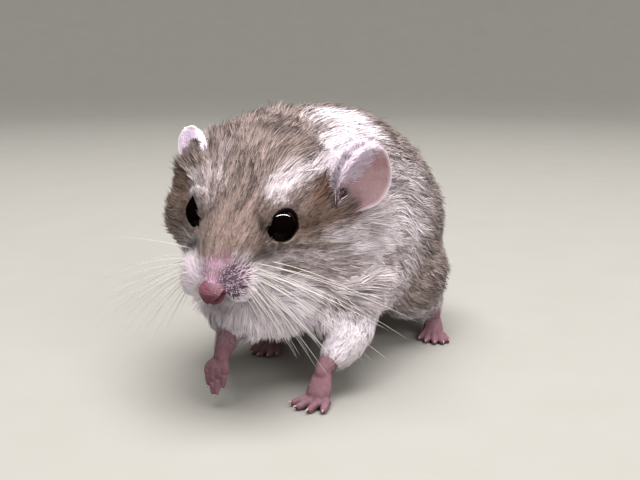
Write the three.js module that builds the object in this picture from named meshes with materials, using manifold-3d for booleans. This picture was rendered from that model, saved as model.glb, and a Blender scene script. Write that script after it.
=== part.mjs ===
// A life-size fat-tailed gerbil in mid step, as a still model, in millimetres.
// +X is the animal's left, -Y is ahead of it and +Z is up. It stands on z = 0.
import * as THREE from "three";
import { mergeVertices } from "three/addons/utils/BufferGeometryUtils.js";
import Module from "manifold-3d";

const wasm = await Module();
wasm.setup();

// Driving dimensions

const GAP = 0.3; // thin cut between neighbouring parts
const FAR = 200; // longer than the animal in every direction
const WELD = 1e-4; // corners closer than this are one
const HANDS = { left: 1, right: -1 };

// The trunk, from the throat to the tail root. Each station has its centre, the half width,
// the height of the back above the centre and the depth of the belly below it,
// all out to the tips of the coat.
const TRUNK = {
  stations: [
    { at: [-7, -28, 16.5], side: 6.5, rise: 6, drop: 6 }, // throat
    { at: [-7.5, -21, 21.5], side: 12, rise: 20.5, drop: 12 }, // inside the head
    { at: [-7.5, -12, 29], side: 18.5, rise: 22.4, drop: 20.5 }, // nape
    { at: [-5.5, -2, 30], side: 20.5, rise: 22.6, drop: 24 }, // withers
    { at: [-4.5, 8, 29.5], side: 20.8, rise: 23, drop: 23.8 }, // back
    { at: [-3.5, 19, 27.5], side: 20.5, rise: 22.3, drop: 21 }, // loin
    { at: [-3.5, 30, 24.5], side: 18.5, rise: 19, drop: 18 }, // hips
    { at: [-4, 40, 20], side: 14, rise: 14, drop: 13.2 }, // rump
    { at: [-4.5, 46, 17], side: 8, rise: 8, drop: 8 }, // tail root
  ],
  ends: [0.12, 0.14], // share of the length that closes each end
  squareness: 0.72, // power that flattens the belly
  plumb: true, // sections stand upright
  sides: 30,
  steps: 28,
};
const HEAD_CUT = { back: 30.5, below: -11.5, reach: 60 }; // limits of the head in its own frame
const NECK_CUT = { at: [-7, -2, 40], facing: [0.08, -0.97, 0.24] };
const RUMP_CUT = { at: [-4, 26, 28], facing: [0, 1, 0.15] };

// The head, in its own frame: the nose tip is the origin and +Y runs back along the skull.
const HEAD = {
  nose: [-3, -41.3, 24.6],
  yaw: 9, // degrees towards the animal's left
  pitch: 25, // degrees that the skull slopes down to the nose
  roll: 5, // degrees that the left side hangs lower
  stations: [
    { at: [0, 1.6, -0.8], side: 1.8, rise: 1.8, drop: 1.8 }, // nose
    { at: [0, 6.5, 0], side: 4.5, rise: 4, drop: 4.6 }, // muzzle
    { at: [0, 12, 0], side: 7.2, rise: 6.5, drop: 7.4 }, // bridge
    { at: [0, 18, 0], side: 9.6, rise: 9.2, drop: 10 }, // eyes
    { at: [0, 24, 0], side: 14, rise: 11.4, drop: 12 }, // cheeks
    { at: [0, 30, 0], side: 16.5, rise: 13, drop: 13 }, // ears
    { at: [0, 36, 0], side: 15.5, rise: 12.6, drop: 12 }, // back of the skull
    { at: [0, 40, 0], side: 11, rise: 9.5, drop: 8 },
  ],
  ends: [0.08, 0.1],
  sides: 32,
  steps: 30,
};
const CHEEK = { at: [13.5, 20, -6.5], size: [8, 7.5, 7.5], swell: 6.8 };
const SOCKET = { at: [8.4, 15.8, 2.2], size: [4.5, 4.6, 4.6], swell: -1 };
const EYE = { at: [7.2, 16.9, 1.9], radius: 3.45, facing: [0.8, -0.55, 0.22] };
const LID = { ring: 3.65, tube: 0.55, out: 1.5, length: 1.06 };
const NOSE = { at: [-0.1, 1.7, -1.2], size: [2, 2.2, 2] };
const NOSTRIL = { at: [1.5, 0.3, -1.8], size: [0.5, 1.1, 0.45] };
const PHILTRUM = { at: [-0.1, 0, -2.7], size: [0.22, 0.8, 1] };
const MOUTH = { front: [-1, -2.3], corner: [9.5, -3.6], back: [17, -16], ahead: -10, width: 40 };
const LIP = { swell: 0.35, reach: 0.9 };
const PAD = { at: [3.9, 6.4, -1.5], size: [2.5, 4.6, 3.1] };
const WHISKER = {
  rows: 3,
  columns: 4,
  thick: 0.52,
  tip: 0.5, // share of the thickness left at the tip
  length: [13, 30], // front column and back column
  lowest: 0.85, // length of the bottom row as a share of the top row
  sag: 0.2,
  out: 0.4, // how far the roots stand out from the middle of the pad
  span: [4, 2.8], // length and height of the patch of roots
  back: [-26, 8], // degrees of sweep, front column to back column
  tilt: [-8, -36], // degrees of rise, top row to bottom row
};
const EAR = {
  width: 11.5,
  thick: 0.8,
  blunt: 0.4, // power that rounds the rim, 1 for a knife edge
  curl: [4.25, 2.55], // how far the side margins curl round, at the base and at the tip
  hollow: 1.6, // depth of the hollow halfway up
  neck: 0.86, // width of the base as a share of the whole
  flare: 0.3, // widening above it
  root: 0.12, // share of the length sunk in the head
  left: { at: [16.2, 26, 1.2], length: 14.5, along: [0.45, 0.47, 0.76], opens: [0.72, -0.62, 0.2] },
  right: { at: [-10.8, 27, 2.5], length: 12, along: [-0.08, 0.25, 0.95], opens: [-0.78, -0.62, 0.1] },
};

// Limbs. Every joint has a centre and a radius, from inside the trunk down to the wrist or the hock.
const FORE = {
  left: {
    muscle: { at: [7, -9, 19], size: [8.5, 8.5, 11] },
    joints: [[7.5, -7, 20, 6.5], [10.2, -12.5, 11.8, 5.4], [8.3, -21, 5.8, 1.9]],
    toes: [8.4, -24.4, 0.8],
    turn: -20,
    curl: 0,
    spread: 22,
  },
  right: {
    muscle: { at: [-18, -10, 19], size: [8.5, 8.5, 10] },
    joints: [[-14, -11, 20, 6], [-10, -21, 14.5, 4], [-7.8, -29.4, 9.6, 1.7]],
    toes: [-8, -31, 7],
    turn: 3,
    curl: 66,
    spread: 8,
  },
};
const HIND = {
  left: {
    muscle: { at: [9, 20, 15.5], size: [9.8, 12.5, 11.8] },
    joints: [[10, 24, 16, 7], [10.5, 32, 8.5, 3.8], [13.8, 26, 3.8, 1.9]],
    toes: [15, 22.4, 0.8],
    turn: 22,
    curl: 0,
    spread: 12,
  },
  right: {
    muscle: { at: [-16, 14, 15.5], size: [9.8, 12.5, 11] },
    joints: [[-14, 10, 16, 7], [-14, 15, 5.6, 4.2], [-13.8, 1.5, 2, 1.9]],
    toes: [-13.6, -0.6, 0.85],
    turn: -2,
    curl: 0,
    spread: 12,
  },
};
const FOREPAW = { half: 2.8, thick: 1.3, toes: 4, toe: 3.6, toeRadius: 0.85, pitch: 1.456, fade: 0.11 };
const HINDPAW = { half: 2.6, thick: 1.3, toes: 5, toe: 4.6, toeRadius: 0.82, pitch: 1.082, fade: 0.088 };
const SOLE = [
  { along: 0, half: 0.7, rise: 1.4, drop: 1.4 }, // heel, as shares of the paw's sizes
  { along: 0.55, half: 0.88, rise: 1.15, drop: 1.2 },
  { along: 1, half: 1, rise: 0.85, drop: 1 }, // ball of the foot
];
const TOE = [
  { along: -0.35, lift: -0.3, radius: 1 }, // root, as shares of the toe's sizes with its lift in mm
  { along: 0.4, lift: -0.15, radius: 0.95 },
  { along: 1, lift: -0.5, radius: 0.8 },
];
const CLAW = {
  length: 1.1,
  radius: 0.3,
  sunk: 0.3, // how far its root lies inside the toe
  joints: [
    { along: 0.4, lift: -0.4, radius: 1 },
    { along: 0.5, lift: -0.5, radius: 0.7 },
    { along: 1, lift: -0.6, radius: 0.4 },
  ],
};

// The tail, a club that lies curved on the floor behind the animal
const TAIL = {
  stations: [
    { at: [-4.5, 42, 16], side: 3.4, rise: 3.4, drop: 3.4 },
    { at: [-4, 50, 9.8], side: 3.9, rise: 3.9, drop: 3.9 },
    { at: [-5.5, 57.5, 5.6], side: 4.8, rise: 4.7, drop: 4.9 },
    { at: [-10, 65, 5.1], side: 5.3, rise: 5.1, drop: 5.3 },
    { at: [-18, 70, 4.2], side: 4.6, rise: 4.4, drop: 4.4 },
    { at: [-25.5, 71.5, 2.7], side: 2.6, rise: 2.6, drop: 2.9 },
  ],
  ends: [0.05, 0.12],
  sides: 14,
  steps: 16,
};

// Solids: closed three.js geometries, joined and cut by manifold-3d

// A geometry with shared corners. Forms are welded first and bent afterwards.
function welded(geometry) {
  geometry.deleteAttribute("normal");
  geometry.deleteAttribute("uv");
  return mergeVertices(geometry, WELD);
}

function solidOf(geometry) {
  const mesh = new wasm.Mesh({
    numProp: 3,
    vertProperties: new Float32Array(geometry.attributes.position.array),
    triVerts: new Uint32Array(geometry.index.array),
  });
  return new wasm.Manifold(mesh);
}

function geometryOf(solid) {
  const mesh = solid.getMesh();
  const geometry = new THREE.BufferGeometry();
  geometry.setAttribute("position", new THREE.BufferAttribute(mesh.vertProperties, 3));
  geometry.setIndex(new THREE.BufferAttribute(mesh.triVerts, 1));
  geometry.computeVertexNormals();
  return geometry;
}

const join = (solids) => solids.reduce((all, one) => all.add(one));

const largest = (solid) => solid.decompose().reduce((a, b) => (a.volume() > b.volume() ? a : b));

const point = (xyz) => new THREE.Vector3(...xyz);

const mirrored = ([x, y, z], hand) => [x * hand, y, z];

const radians = (degrees) => THREE.MathUtils.degToRad(degrees);

const lerp = (from, to, share) => THREE.MathUtils.lerp(from, to, share);

const ball = (sides, steps) => welded(new THREE.SphereGeometry(1, sides, steps));

// An ellipsoid about a point
function ellipsoid(at, size, { sides = 18, steps = 12, grow = 0 } = {}) {
  const geometry = ball(sides, steps);
  geometry.scale(...size.map((s) => s + grow));
  geometry.translate(...at);
  return geometry;
}

// How far a section has opened at a share t of the length, with a quarter circle at each end
function opening(t, [first, last]) {
  const near = Math.min(t / first, (1 - t) / last, 1);
  return Math.sqrt(Math.max(0, 1 - (1 - near) ** 2));
}

// A closed body swept through stations. The sphere's poles become the two ends.
function sweep(body, { up = [0, 0, 1], grow = 0, dress = null } = {}) {
  const { stations, ends, sides, steps, squareness = 1, plumb = false } = body;
  const path = new THREE.CatmullRomCurve3(stations.map((s) => point(s.at)));
  const size = new THREE.CatmullRomCurve3(stations.map((s) => point([s.side, s.rise, s.drop])));
  const geometry = ball(sides, steps);
  const place = geometry.getAttribute("position");
  const upward = point(up);
  for (let i = 0; i < place.count; i++) {
    const turn = Math.acos(THREE.MathUtils.clamp(place.getY(i), -1, 1));
    const t = (turn / Math.PI + (1 - Math.cos(turn)) / 2) / 2;
    const round = Math.hypot(place.getX(i), place.getZ(i)) || 1;
    let across = -place.getX(i) / round;
    let high = place.getZ(i) / round;
    if (high < 0) {
      across = Math.sign(across) * Math.abs(across) ** squareness;
      high = -(Math.abs(high) ** squareness);
    }
    const ahead = path.getTangent(t);
    const side = ahead.clone().cross(upward).normalize();
    const rise = plumb ? upward.clone() : side.clone().cross(ahead);
    const half = size.getPoint(t);
    const open = opening(t, ends);
    const reach = (length) => (length + grow) * open;
    const p = path.getPoint(t);
    p.addScaledVector(ahead, grow * (t < 0.5 ? -1 : 1) * (1 - open));
    p.addScaledVector(side, across * reach(half.x));
    p.addScaledVector(rise, high * reach(high > 0 ? half.y : half.z));
    if (dress) dress(p, side.multiplyScalar(across).addScaledVector(rise, high));
    place.setXYZ(i, ...p);
  }
  return geometry;
}

// A round limb through joints of [x, y, z, radius]
function limb(joints, { sides = 12, steps = 10, grow = 0, ends = [0.1, 0.05], up = [0, -1, 0.2] } = {}) {
  const stations = joints.map(([x, y, z, r]) => ({ at: [x, y, z], side: r, rise: r, drop: r }));
  return sweep({ stations, ends, sides, steps }, { up, grow });
}

// A soft swelling on a surface, strongest at a point
function swell(p, out, at, size, height) {
  const share = at.reduce((sum, c, k) => sum + ((p.getComponent(k) - c) / size[k]) ** 2, 0);
  p.addScaledVector(out, height * Math.exp(-share));
}

// Everything in front of a plane, as far as the animal goes
function halfSpace({ at, facing }, back = 0) {
  const box = welded(new THREE.BoxGeometry(FAR, FAR, FAR)).translate(0, 0, FAR / 2 + back);
  const turn = new THREE.Quaternion().setFromUnitVectors(point([0, 0, 1]), point(facing).normalize());
  return solidOf(box.applyQuaternion(turn).translate(...at));
}

const FLOOR = halfSpace({ at: [0, 0, 0], facing: [0, 0, -1] });
const onFloor = (solid) => largest(solid.subtract(FLOOR));

// The trunk

const trunkForm = (grow = 0) => solidOf(sweep(TRUNK, { grow }));

// The head

const headPlace = new THREE.Matrix4()
  .makeTranslation(...HEAD.nose)
  .multiply(new THREE.Matrix4().makeRotationZ(radians(HEAD.yaw)))
  .multiply(new THREE.Matrix4().makeRotationX(radians(HEAD.pitch)))
  .multiply(new THREE.Matrix4().makeRotationY(radians(HEAD.roll)));

const inHead = (geometry) => solidOf(geometry.applyMatrix4(headPlace));

// Distance of a point in the head's frame from the line of the mouth, seen from the side
function fromMouth(p) {
  const line = new THREE.Line3(point([0, ...MOUTH.front]), point([0, ...MOUTH.corner]));
  const beside = point([0, p.y, p.z]);
  return line.closestPointToPoint(beside, true, new THREE.Vector3()).distanceTo(beside);
}

function headForm(grow = 0) {
  const dress = (p, out) => {
    p.addScaledVector(out, LIP.swell * Math.exp(-((fromMouth(p) / LIP.reach) ** 2)));
    for (const hand of Object.values(HANDS)) {
      swell(p, out, mirrored(CHEEK.at, hand), CHEEK.size, CHEEK.swell);
      swell(p, out, mirrored(SOCKET.at, hand), SOCKET.size, SOCKET.swell);
    }
  };
  return inHead(sweep(HEAD, { grow, dress }));
}

// The region under the line of the mouth
function jawRegion(grow = 0) {
  const { front, corner, back, ahead, width } = MOUTH;
  const outline = new THREE.Shape()
    .moveTo(ahead, front[1] + grow)
    .lineTo(front[0], front[1] + grow)
    .lineTo(corner[0] + grow, corner[1] + grow)
    .lineTo(back[0] + grow, back[1])
    .lineTo(ahead, back[1]);
  const side = new THREE.Matrix4().makeBasis(point([0, 1, 0]), point([0, 0, 1]), point([1, 0, 0]));
  const slab = welded(new THREE.ExtrudeGeometry(outline, { depth: width, bevelEnabled: false }));
  return slab.translate(0, 0, -width / 2).applyMatrix4(side);
}

function eyeForm(hand, grow = 0) {
  const size = [EYE.radius, EYE.radius, EYE.radius];
  return inHead(ellipsoid(mirrored(EYE.at, hand), size, { sides: 16, steps: 12, grow }));
}

// The rim of both lids, a ring round the eye
function lidForm(hand) {
  const facing = point(mirrored(EYE.facing, hand)).normalize();
  const ring = welded(new THREE.TorusGeometry(LID.ring, LID.tube, 6, 18)).scale(1, LID.length, 1);
  ring.applyQuaternion(new THREE.Quaternion().setFromUnitVectors(point([0, 0, 1]), facing));
  const centre = point(mirrored(EYE.at, hand)).addScaledVector(facing, LID.out);
  return inHead(ring.translate(...centre));
}

function noseForm(grow = 0) {
  return inHead(ellipsoid(NOSE.at, NOSE.size, { sides: 16, steps: 12, grow }));
}

function nose() {
  const hollows = [inHead(ellipsoid(PHILTRUM.at, PHILTRUM.size, { sides: 8, steps: 6 }))];
  for (const hand of Object.values(HANDS)) {
    hollows.push(inHead(ellipsoid(mirrored(NOSTRIL.at, hand), NOSTRIL.size, { sides: 10, steps: 8 })));
  }
  return largest(noseForm().subtract(join(hollows)));
}

function padForm(hand, grow = 0) {
  return inHead(ellipsoid(mirrored(PAD.at, hand), PAD.size, { sides: 12, steps: 8, grow }));
}

// One whisker, from well inside the pad out to its tip
function whisker(hand, row, column) {
  const back = column / (WHISKER.columns - 1);
  const low = row / (WHISKER.rows - 1);
  const length = lerp(...WHISKER.length, Math.sqrt(back)) * lerp(1, WHISKER.lowest, low);
  const turn = radians(lerp(...WHISKER.back, back));
  const tilt = radians(lerp(...WHISKER.tilt, low));
  const way = point([Math.cos(turn) * Math.cos(tilt), Math.sin(turn) * Math.cos(tilt), Math.sin(tilt)]);
  const root = point(PAD.at);
  root.x += WHISKER.out;
  root.y += (back - 0.5) * WHISKER.span[0];
  root.z += (0.5 - low) * WHISKER.span[1];
  const stations = [0, 1 / 3, 2 / 3, 1].map((t) => {
    const p = root.clone().addScaledVector(way, length * t);
    p.z -= WHISKER.sag * length * t * t;
    const radius = (WHISKER.thick / 2) * (t < 1 ? 1 : WHISKER.tip);
    return { at: mirrored(p.toArray(), hand), side: radius, rise: radius, drop: radius };
  });
  return inHead(sweep({ stations, ends: [0.02, 0.04], sides: 4, steps: 6 }));
}

function whiskerPad(hand) {
  const whiskers = [];
  for (let row = 0; row < WHISKER.rows; row++) {
    for (let column = 0; column < WHISKER.columns; column++) {
      whiskers.push(whisker(hand, row, column));
    }
  }
  return largest(padForm(hand).add(join(whiskers).subtract(headForm(GAP))));
}

// An ear: a sphere flattened to a leaf, with its margins bent round to the side that it opens to
function earForm(ear) {
  const along = point(ear.along).normalize();
  const opens = point(ear.opens);
  opens.addScaledVector(along, -opens.dot(along)).normalize();
  const across = along.clone().cross(opens);
  const leaf = ball(20, 14);
  const place = leaf.getAttribute("position");
  for (let i = 0; i < place.count; i++) {
    const [x, y, z] = [place.getX(i), place.getY(i), place.getZ(i)];
    const share = (1 + y) / 2; // 0 at the base and 1 at the tip
    const belly = Math.sin(Math.PI * share);
    const egg = EAR.neck + EAR.flare * belly * share;
    const bend = lerp(...EAR.curl, share) * x * x - EAR.hollow * belly;
    const thick = Math.sign(z) * Math.abs(z) ** EAR.blunt * (EAR.thick / 2);
    const p = point(ear.at);
    p.addScaledVector(along, (share - EAR.root) * ear.length);
    p.addScaledVector(across, x * egg * (EAR.width / 2));
    p.addScaledVector(opens, bend + thick);
    place.setXYZ(i, ...p);
  }
  return inHead(leaf);
}

// Limbs

// Toes, each with a claw, fanned out from the ball of the foot
function toesOf(paw, foot) {
  const made = [];
  const dip = radians(foot.curl);
  for (let k = 0; k < paw.toes; k++) {
    const place = k - (paw.toes - 1) / 2;
    const heading = radians(foot.turn + place * foot.spread);
    const ahead = point([Math.sin(heading), -Math.cos(heading) * Math.cos(dip), 0]);
    ahead.z = -Math.cos(heading) * Math.sin(dip);
    const length = paw.toe * (1 - paw.fade * place ** 2);
    const base = point(foot.toes);
    base.x += place * paw.pitch;
    const joint = (mm, lift, radius) => {
      const p = base.clone().addScaledVector(ahead, mm);
      return [p.x, p.y, p.z + lift, radius];
    };
    const toe = TOE.map((j) => joint(j.along * length, j.lift, j.radius * paw.toeRadius));
    const rooted = length - CLAW.sunk;
    const claw = CLAW.joints.map(({ along, lift, radius }) => {
      return joint(rooted + along * CLAW.length, lift, radius * CLAW.radius);
    });
    made.push(solidOf(limb(toe, { sides: 6, steps: 5, ends: [0.2, 0.2], up: [0, 0, 1] })));
    made.push(solidOf(limb(claw, { sides: 4, steps: 4, ends: [0.1, 0.1], up: [0, 0, 1] })));
  }
  return made;
}

// The foot: a flattened sole from the end of the leg to the ball of the foot, with its toes
function pawForm(paw, foot) {
  const heel = point(foot.joints.at(-1).slice(0, 3));
  const stations = SOLE.map(({ along, half, rise, drop }) => ({
    at: heel.clone().lerp(point(foot.toes), along).toArray(),
    side: half * paw.half,
    rise: rise * paw.thick,
    drop: drop * paw.thick,
  }));
  const sole = solidOf(sweep({ stations, ends: [0.15, 0.3], sides: 12, steps: 8 }));
  return join([sole, ...toesOf(paw, foot)]);
}

// The muscle of the upper leg, as far as it fills the trunk
function muscleForm({ at, size }, grow = 0) {
  return solidOf(ellipsoid(at, size, { sides: 16, steps: 12, grow }));
}

// Nodes

const coat = (color) => new THREE.MeshStandardMaterial({ color, roughness: 0.9, metalness: 0 });
const skin = (color) => new THREE.MeshStandardMaterial({ color, roughness: 0.55, metalness: 0 });
const wet = (color) => new THREE.MeshStandardMaterial({ color, roughness: 0.06, metalness: 0 });
const BUFF = "#b49c88";
const PALE = "#d8d4cc";
const PINK = "#c98f8f";
const NOSE_RED = "#b9686c";
const EAR_PINK = "#d6a3a6";
const EYE_BLACK = "#0b090a";

const part = new THREE.Group();

// Each mesh turns about its own middle
function place(name, solid, material) {
  const geometry = geometryOf(solid);
  geometry.computeBoundingBox();
  const middle = geometry.boundingBox.getCenter(new THREE.Vector3());
  geometry.translate(-middle.x, -middle.y, -middle.z);
  const mesh = new THREE.Mesh(geometry, material);
  mesh.name = name;
  mesh.position.copy(middle);
  part.add(mesh);
}

// The head with all that it shares with the neck, as far as the cut behind it
function headRegion(grow = 0) {
  const { back, below, reach } = HEAD_CUT;
  const box = welded(new THREE.BoxGeometry(reach, reach, reach));
  return inHead(box.translate(0, back + grow - reach / 2, below - grow + reach / 2));
}

function buildHead(whole) {
  let skull = whole.intersect(headRegion());
  for (const hand of Object.values(HANDS)) {
    skull = skull.add(lidForm(hand)).subtract(eyeForm(hand, GAP)).subtract(padForm(hand, GAP));
  }
  skull = skull.subtract(noseForm(GAP));
  place("head", largest(skull.subtract(inHead(jawRegion(GAP)))), coat(BUFF));
  place("lower_jaw", largest(skull.intersect(inHead(jawRegion()))), coat(PALE));
  place("nose", nose(), skin(NOSE_RED));
  const around = headForm(GAP).add(trunkForm(GAP));
  for (const [name, hand] of Object.entries(HANDS)) {
    place(`eye_${name}`, eyeForm(hand), wet(EYE_BLACK));
    place(`whisker_pad_${name}`, whiskerPad(hand).subtract(noseForm(GAP)), coat(PALE));
    place(`ear_${name}`, largest(earForm(EAR[name]).subtract(around)), skin(EAR_PINK));
  }
}

function buildBody(whole) {
  const beside = headRegion(GAP);
  let trunk = whole.subtract(beside);
  const pairs = { fore: [FOREPAW, FORE], hind: [HINDPAW, HIND] };
  for (const name of Object.keys(HANDS)) {
    for (const [word, [paw, feet]] of Object.entries(pairs)) {
      const foot = feet[name];
      const shank = solidOf(limb(foot.joints));
      const shankCut = solidOf(limb(foot.joints, { grow: GAP }));
      place(`${word}leg_${name}`, onFloor(muscleForm(foot.muscle).add(shank).subtract(beside)), coat(PALE));
      place(`${word}paw_${name}`, onFloor(pawForm(paw, foot).subtract(shankCut)), skin(PINK));
      trunk = trunk.subtract(muscleForm(foot.muscle, GAP)).subtract(shankCut);
    }
  }
  place("neck", largest(trunk.intersect(halfSpace(NECK_CUT))), coat(BUFF));
  const behind = trunk.subtract(halfSpace(NECK_CUT, -GAP));
  place("rump", largest(behind.intersect(halfSpace(RUMP_CUT))), coat(BUFF));
  place("torso", largest(behind.subtract(halfSpace(RUMP_CUT, -GAP))), coat(BUFF));
}

function buildTail() {
  place("tail", onFloor(solidOf(sweep(TAIL)).subtract(trunkForm(GAP))), skin(PINK));
}

const whole = onFloor(headForm().add(trunkForm()));
buildHead(whole);
buildBody(whole);
buildTail();

// The animal stands on the middle of the floor that its outline covers
const outline = new THREE.Box3().setFromObject(part);
const middle = outline.getCenter(new THREE.Vector3());
part.position.set(-middle.x, -middle.y, -outline.min.z);

export default part;
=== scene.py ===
"""The looks of a life-size fat-tailed gerbil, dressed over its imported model.

Lengths in this file are millimetres in the animal's own frame (+X its left, -Y ahead, +Z up),
and turn into metres where a mesh is made. Lights and materials are in metres from the start.
"""

import logging
import math
from dataclasses import dataclass, field, replace
from enum import Enum, IntEnum

import bmesh
import bpy
import numpy as np
from mathutils import Matrix, Vector
from mathutils.kdtree import KDTree


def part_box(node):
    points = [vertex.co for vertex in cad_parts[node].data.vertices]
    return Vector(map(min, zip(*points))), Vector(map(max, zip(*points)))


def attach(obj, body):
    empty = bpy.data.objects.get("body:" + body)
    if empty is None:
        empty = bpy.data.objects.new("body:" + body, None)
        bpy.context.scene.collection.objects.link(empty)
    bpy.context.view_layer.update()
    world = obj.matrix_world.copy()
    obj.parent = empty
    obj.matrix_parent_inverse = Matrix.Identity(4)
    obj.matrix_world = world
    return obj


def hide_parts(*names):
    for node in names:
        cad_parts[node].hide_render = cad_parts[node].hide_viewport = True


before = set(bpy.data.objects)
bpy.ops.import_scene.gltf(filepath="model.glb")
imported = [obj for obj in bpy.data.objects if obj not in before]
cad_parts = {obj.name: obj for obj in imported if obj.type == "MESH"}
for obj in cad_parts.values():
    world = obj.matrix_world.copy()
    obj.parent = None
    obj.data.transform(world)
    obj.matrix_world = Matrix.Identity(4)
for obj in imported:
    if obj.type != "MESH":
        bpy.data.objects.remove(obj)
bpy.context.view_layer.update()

log = logging.getLogger("gerbil")

Array = np.ndarray
MM = 0.001
SEED = 20
UP = np.array([0.0, 0.0, 1.0])
BAKE_MAP = "OFBake"


class Side(Enum):
    """The animal's own left and right, as the sign of x."""

    LEFT = 1
    RIGHT = -1

    @property
    def word(self) -> str:
        """The side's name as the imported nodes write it."""
        return self.name.lower()

    def of(self, pair: tuple) -> float:
        """This side's value of a pair that names left first."""
        return pair[0] if self is Side.LEFT else pair[1]


# Small maths


def smooth(x: Array, low: float, high: float) -> Array:
    """Rises softly from 0 at low to 1 at high.

    Args:
        x: Values of any shape.
        low: Where the rise starts.
        high: Where it ends.

    Returns:
        The share for each value.
    """
    t = np.clip((x - low) / (high - low), 0.0, 1.0)
    return t * t * (3.0 - 2.0 * t)


def blend(a: Array | float, b: Array | float, share: Array | float) -> Array:
    """Mixes a and b by a share of b."""
    return a * (1.0 - share) + b * share


def unit(v: Array) -> Array:
    """Rows of v at length 1."""
    return v / np.maximum(np.linalg.norm(v, axis=-1, keepdims=True), 1e-9)


def turn_about(axis: str, degrees: float) -> Array:
    """A turn about one axis.

    Args:
        axis: X, Y or Z.
        degrees: The angle.

    Returns:
        A 3 by 3 matrix.
    """
    return np.array(Matrix.Rotation(math.radians(degrees), 3, axis))


def near_line(points: Array, line: list) -> Array:
    """Distance of each point from a line of straight stretches.

    Args:
        points: Rows of x, y, z.
        line: The corners of the line, or a single spot.

    Returns:
        One distance for each point.
    """
    corners = np.array(line, dtype=float)
    best = np.linalg.norm(points - corners[0], axis=1)
    for a, b in zip(corners[:-1], corners[1:]):
        t = np.clip((points - a) @ (b - a) / ((b - a) @ (b - a)), 0.0, 1.0)
        best = np.minimum(best, np.linalg.norm(points - a - t[:, None] * (b - a), axis=1))
    return best

def on_line(points: Array, line: list, full: float, gone: float, ragged: Array | float = 0.0) -> Array:
    """How strongly a line marks points, fading out to its sides.

    Args:
        points: Rows of x, y, z.
        line: The corners of the line, or a single spot.
        full: Distance up to which the mark is whole.
        gone: Distance from which on there is none.
        ragged: Added to the distances, to make the edge uneven.

    Returns:
        One share for each point.
    """
    return 1 - smooth(near_line(points, line) + ragged, full, gone)


def laid(v: Array, n: Array) -> Array:
    """Rows of v pressed flat on a surface that faces along n, at length 1."""
    return unit(v - n * (v * n).sum(axis=1, keepdims=True))


def folded(q: Array) -> Array:
    """Points with the right side folded over on the left."""
    m = q.copy()
    m[:, 0] = np.abs(m[:, 0])
    return m


def ripple(points: Array, size: float, seed: int) -> Array:
    """A soft, seeded waviness between about -1 and 1.

    Args:
        points: Rows of x, y, z.
        size: The rough distance between crests.
        seed: Picks the pattern.

    Returns:
        One value for each point.
    """
    draw = np.random.default_rng(seed)
    waves = draw.normal(size=(9, 3)) * (2.0 * math.pi / size) * 0.6
    phases = draw.uniform(0.0, 2.0 * math.pi, 9)
    return np.sin(points @ waves.T + phases).sum(axis=1) / 4.2


def strands(points: Array, lie: Array, size: float, reach: float, seed: int) -> Array:
    """Random light and dark that is drawn out along the lie of the coat, as hair in strands is.

    Args:
        points: Rows of x, y, z.
        lie: The way that the hair lies at each.
        size: How wide a strand is.
        reach: How long it is.
        seed: Picks the pattern.

    Returns:
        One value for each point, mostly between -2 and 2.
    """
    total = np.zeros(len(points))
    steps = np.linspace(-0.5, 0.5, 9)
    for step in steps:
        cell = np.floor((points + lie * (step * reach)) / size).astype(np.int64)
        mixed = (cell * np.array([73856093, 19349663, 83492791])).sum(axis=1) + seed * 2654435761
        mixed = ((mixed ^ (mixed >> 13)) * 1274126177) & 0xFFFFFFFF
        total += (mixed ^ (mixed >> 15)) / 2.0**31 - 1.0
    return total / (0.577 * math.sqrt(len(steps)))


def spline(stations: Array, t: Array) -> Array:
    """A Catmull-Rom curve through stations.

    Args:
        stations: Rows to pass through, with any number of columns.
        t: Shares of the way, 0 to 1.

    Returns:
        One row for each t.
    """
    ends = np.vstack([2 * stations[0] - stations[1], stations, 2 * stations[-1] - stations[-2]])
    x = np.clip(t, 0.0, 1.0) * (len(stations) - 1)
    i = np.minimum(x.astype(int), len(stations) - 2)
    f = (x - i)[:, None]
    p0, p1, p2, p3 = ends[i], ends[i + 1], ends[i + 2], ends[i + 3]
    return p1 + 0.5 * f * (p2 - p0 + f * (2 * p0 - 5 * p1 + 4 * p2 - p3 + f * (3 * (p1 - p2) + p3 - p0)))


# Meshes


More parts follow.
